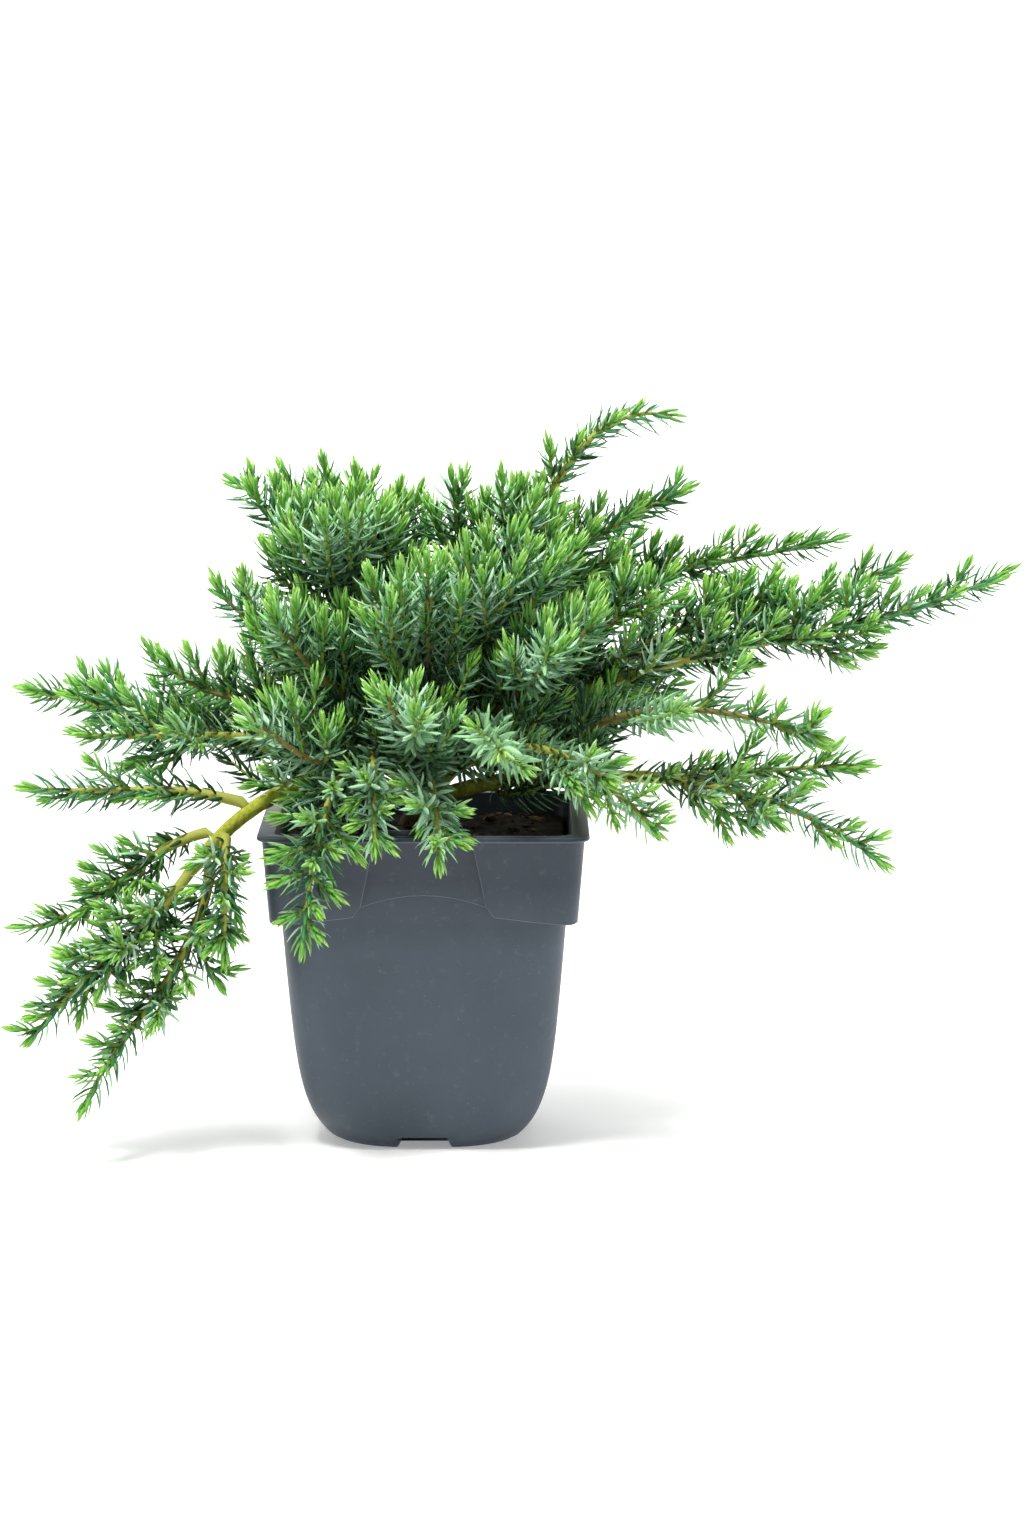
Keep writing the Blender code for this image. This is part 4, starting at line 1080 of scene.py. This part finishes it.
def drain_recess():
    side = [(RECESS_HALF_WIDTH_BOTTOM + RECESS_SPREAD, -RECESS_BELOW), (RECESS_HALF_WIDTH_TOP, RECESS_HEIGHT)]
    return prism("recess", side, RECESS_DEPTH * 2)


def pot_piece():
    """The nursery pot: a bulging square body, a collar with four corner blocks, a lip and a label tab."""
    foot = []
    for up, back in FOOT_ROUND:
        foot.append((FOOT_EDGE * up, FOOT_HALF - FOOT_EDGE * back, body_corner(0.0) - FOOT_EDGE * back))
    pot = loft("pot_shell", foot + body_sections(0.0, FOOT_EDGE, POT_HEIGHT - BODY_BELOW_RIM, BODY_ROWS))
    for added in (collar_blocks(), collar_panels(), pot_lip()):
        combine(pot, added, "UNION")
    combine(pot, pot_inside(), "DIFFERENCE")
    combine(pot, label_tab(), "UNION", away=PANEL_HALF_TOP - WALL + TAB_THICK * 0.5 + TAB_GAP)
    combine(pot, drain_recess(), "DIFFERENCE", 4, FOOT_HALF)

    looks = [plastic_material(name, *colours) for name, colours in PLASTIC_COLOURS.items()]
    for look in looks:
        pot.data.materials.append(look)
    pot.modifiers.new("weld", "WELD").merge_threshold = WELD
    edge = pot.modifiers.new("edge", "BEVEL")
    edge.width = EDGE_ROUND
    edge.segments = 2
    edge.limit_method = "ANGLE"
    edge.angle_limit = EDGE_ANGLE
    # The bevel's faces take the second, paler plastic: a painted highlight along the pot's edges
    edge.material = 1
    mesh = evaluated_mesh(pot)
    bpy.data.objects.remove(pot)
    mesh.shade_smooth()
    mesh.set_sharp_from_angle(angle=SHARP_ANGLE)
    for i, look in enumerate(looks):
        mesh.materials[i] = look
    while len(mesh.materials) > len(looks):
        mesh.materials.pop(index=len(looks))
    piece("pot_shell", mesh, [], "pot", "pot")


def soil_point(x, y, half):
    """A point of the lumpy top of the mix."""
    away = min(1.0, max(abs(x), abs(y)) / half)
    lumps = noise.noise(Vector((x, y, 0.3)) * 190) * 0.0011 + noise.noise(Vector((x, y, 4.0)) * 520) * 0.0007
    height = SOIL_CROWN - 0.0003 - (SOIL_CROWN - SOIL_EDGE) * away**2 + lumps * (1.0 - 0.4 * away)
    return x, y, min(height, SOIL_CROWN + 0.0004)


def soil_piece():
    """The potting mix: a lumpy mound inside the rim, on the block of mix that fills the pot."""
    inset = WALL + 2 * GAP
    half = PANEL_HALF_BOTTOM - inset
    outline = rounded_square(half, COLLAR_CORNER - WALL * 0.5 - GAP, *SOIL_STEPS)
    block = body_sections(inset, FLOOR_TOP + GAP, ARCH_FOOT - SHOULDER_BELOW, 5)
    rings = square_rings(block, *SOIL_STEPS)
    rings.append([(*point, ARCH_FOOT + SOIL_SHOULDER) for point in outline])
    for i in range(SOIL_RINGS):
        share = 1.0 - i / SOIL_RINGS
        rings.append([soil_point(x * share, y * share, half) for x, y in outline])
    mesh = skin("soil_mound", rings, soil_point(0.0, 0.0, half))
    piece("soil_mound", mesh, [soil_material()], "soil", "soil")


def chips_piece():
    """Bark chips and crumbs on the potting mix: flat, broken, many-sided flakes."""
    seeded = random.Random("chips")
    solid = bmesh.new()
    half = PANEL_HALF_BOTTOM - WALL - CHIP_MARGIN
    for _ in range(CHIPS):
        x, y = seeded.uniform(-half, half), seeded.uniform(-half, half)
        size = seeded.choice(CHIP_SIZES)
        away = max(abs(x), abs(y)) / half
        z = SOIL_CROWN - (SOIL_CROWN - SOIL_EDGE) * away**2 + seeded.uniform(*CHIP_LIFTS)
        made = bmesh.ops.create_icosphere(solid, subdivisions=1, radius=size / 2)["verts"]
        turn = Matrix.Rotation(seeded.uniform(0, math.tau), 4, "Z")
        tilt = Matrix.Rotation(seeded.uniform(-0.5, 0.5), 4, "X")
        sides = [seeded.uniform(*ends) for ends in ((0.9, 1.5), (0.5, 0.9), (0.22, 0.42))]
        for vertex in made:
            vertex.co *= seeded.uniform(0.75, 1.2)
        place = Matrix.Translation((x, y, z)) @ (turn @ tilt) @ Matrix.Diagonal((*sides, 1.0))
        bmesh.ops.transform(solid, matrix=place, verts=made)
        kind = seeded.choice((0, 0, 1, 2))
        for face in {face for vertex in made for face in vertex.link_faces}:
            face.material_index = kind
    mesh = bpy.data.meshes.new("bark_chips")
    solid.to_mesh(mesh)
    solid.free()
    piece("bark_chips", mesh, [bark_material(name, *browns) for name, browns in CHIP_COLOURS.items()], "soil")


def flaky(limb, share, angle, place):
    """How far bark stands out at a place: long plates with cracks between them."""
    plates = noise.noise(Vector((math.cos(angle) * 2.6, math.sin(angle) * 2.6, place.z * 55 + place.x * 30)))
    return 1.0 + 0.16 * plates + 0.07 * noise.noise(place * 900)


def trunk_relief(limb, share, angle, place):
    """Flaky bark with a lobed flare at the root."""
    flare = (TRUNK_FLARE - TRUNK_RADIUS) * (1.0 - min(1.0, share / FLARE_SHARE)) ** 2 / limb.radius(share)
    lobes = 1.0 + 0.25 * flare * math.sin(angle * 4 + 0.7)
    return flaky(limb, share, angle, place) * 0.94 + flare * lobes * 0.8


def wood_pieces(boughs):
    """The trunk and all the boughs, with bark relief."""
    trunk = boughs["trunk"]
    mesh = tube_mesh("trunk_bark", [trunk], TRUNK_SIDES, TRUNK_STEP, [0], trunk_relief)
    piece("trunk_bark", mesh, [bark_material("old_bark", *OLD_BARK)], "trunk", "trunk")
    for name, spec in BOUGHS.items():
        boughs[name].foot = trunk.point(spec.leaves)
    limbs = [boughs[name] for name in BOUGHS]
    mesh = tube_mesh("bough_bark", limbs, BOUGH_SIDES, BOUGH_STEP, [0] * len(limbs), flaky)
    bark = bark_material("young_bark", *YOUNG_BARK)
    piece("bough_bark", mesh, [bark], "bough", *("bough_" + name for name in BOUGHS))


def leafy_pieces(name, limbs, space, looks, kinds, seeded, longest, inner=False, replaced=()):
    """The needles and the tubes of a set of shoots, as two pieces."""
    needles = []
    for i, limb in enumerate(limbs):
        tint = seeded.choices(TINTS, TINT_ODDS)[0]
        # Painted shade: many inner shoots take the darkest needles all along
        if inner and seeded.random() < INNER_PAINTED_SHADE_ODDS:
            tint = "old"
        first = STEM_NEEDLE_FIRST if i == 0 and not inner else NEEDLE_FIRST
        needles += needles_on(limb, first, tint, space, seeded, longest)
    piece("needles_" + name, needle_mesh("needles_" + name, needles), looks["needles"], "foliage", *replaced)
    tubes = tube_mesh("twigs_" + name, limbs, TWIG_SIDES, TWIG_STEP, kinds)
    piece("twigs_" + name, tubes, looks["twigs"], "foliage")


def mass_pieces(name, boughs, stems, looks, crowd):
    """The needles and twigs of one mass."""
    spec, stem = MASSES[name], stems[name]
    space = Space(name, boughs, stems)
    shoots = fine_shoots(name, stem, spec, space, crowd)
    stem.radii = (stem.radii[0], STEM_TIP_RADIUS)
    stem.foot = boughs[spec.bough].point(spec.at)
    longest = NEEDLE_LENGTH * (DENSE_NEEDLES if spec.dense else 1.0)
    kinds = [BROWN_TWIG if spec.dense else OLIVE_TWIG] + [GREEN_TWIG] * len(shoots)
    seeded = random.Random(name + " leaves")
    leafy_pieces(name, [stem] + shoots, space, looks, kinds, seeded, longest, replaced=("foliage_" + name,))


def inner_pieces(name, boughs, looks, crowd):
    """The needles and twigs of the short shoots on one bough."""
    shoots = bough_shoots(name, boughs[name], crowd)
    seeded = random.Random(name + " bough leaves")
    if shoots:
        kinds = [GREEN_TWIG] * len(shoots)
        leafy_pieces(name + "_inner", shoots, Anywhere, looks, kinds, seeded, NEEDLE_LENGTH, inner=True)


def studio():
    """A near-white floor and backdrop, soft lights and the camera."""
    for name, rows, glow in SHEETS:
        points = [(x, y, z) for y, z in rows for x in (-SHEET_HALF, SHEET_HALF)]
        faces = [(i, i + 1, i + 3, i + 2) for i in range(0, len(points) - 2, 2)]
        sheet = smooth_mesh(name, points, faces)
        look = dict(Base_Color=(0.9, 0.9, 0.9, 1.0), Roughness=0.8, Specular_IOR_Level=0.1)
        glowing = dict(Emission_Color=(*WHITE, 1.0), Emission_Strength=glow)
        sheet.materials.append(shaded(name + "_white", **look, **glowing))
        put(name, sheet)
    world = bpy.data.worlds.new("studio")
    world.use_nodes = True
    fill(world.node_tree, world.node_tree.nodes["Background"], Color=(*WHITE, 1.0), Strength=WORLD_GLOW)
    bpy.context.scene.world = world
    for name, (place, aim, size, power, colour) in LIGHTS.items():
        data = bpy.data.lights.new(name, "AREA")
        data.shape = "DISK"
        data.size = size
        data.energy = power
        data.color = colour
        made = put(name, data)
        made.location = place
        made.rotation_euler = (Vector(aim) - Vector(place)).to_track_quat("-Z", "Y").to_euler()
    data = bpy.data.cameras.new("camera")
    data.lens = CAMERA_LENS
    data.sensor_fit = "VERTICAL"
    data.sensor_height = SENSOR_HEIGHT
    data.clip_start = 0.05
    camera = put("camera", data)
    back = Vector((0.0, -math.cos(CAMERA_ELEVATION), math.sin(CAMERA_ELEVATION)))
    camera.location = AIM + back * CAMERA_DISTANCE
    camera.rotation_euler = (-back).to_track_quat("-Z", "Y").to_euler()
    bpy.context.scene.camera = camera
    bpy.context.scene.view_settings.view_transform = "Standard"


def main():
    looks = {"needles": [], "twigs": [plain(name, *look) for name, look in TWIG_COLOURS.items()]}
    for kind, (upper, lower) in NEEDLE_LOOKS.items():
        looks["needles"] += [plain(kind + "_upper", *upper), plain(kind + "_lower", *lower)]
    boughs, stems = all_limbs()
    soil_piece()
    chips_piece()
    wood_pieces(boughs)
    crowd = Crowd()
    for name in MASSES:
        mass_pieces(name, boughs, stems, looks, crowd)
    for name in BOUGHS:
        inner_pieces(name, boughs, looks, crowd)
    pot_piece()
    studio()


main()
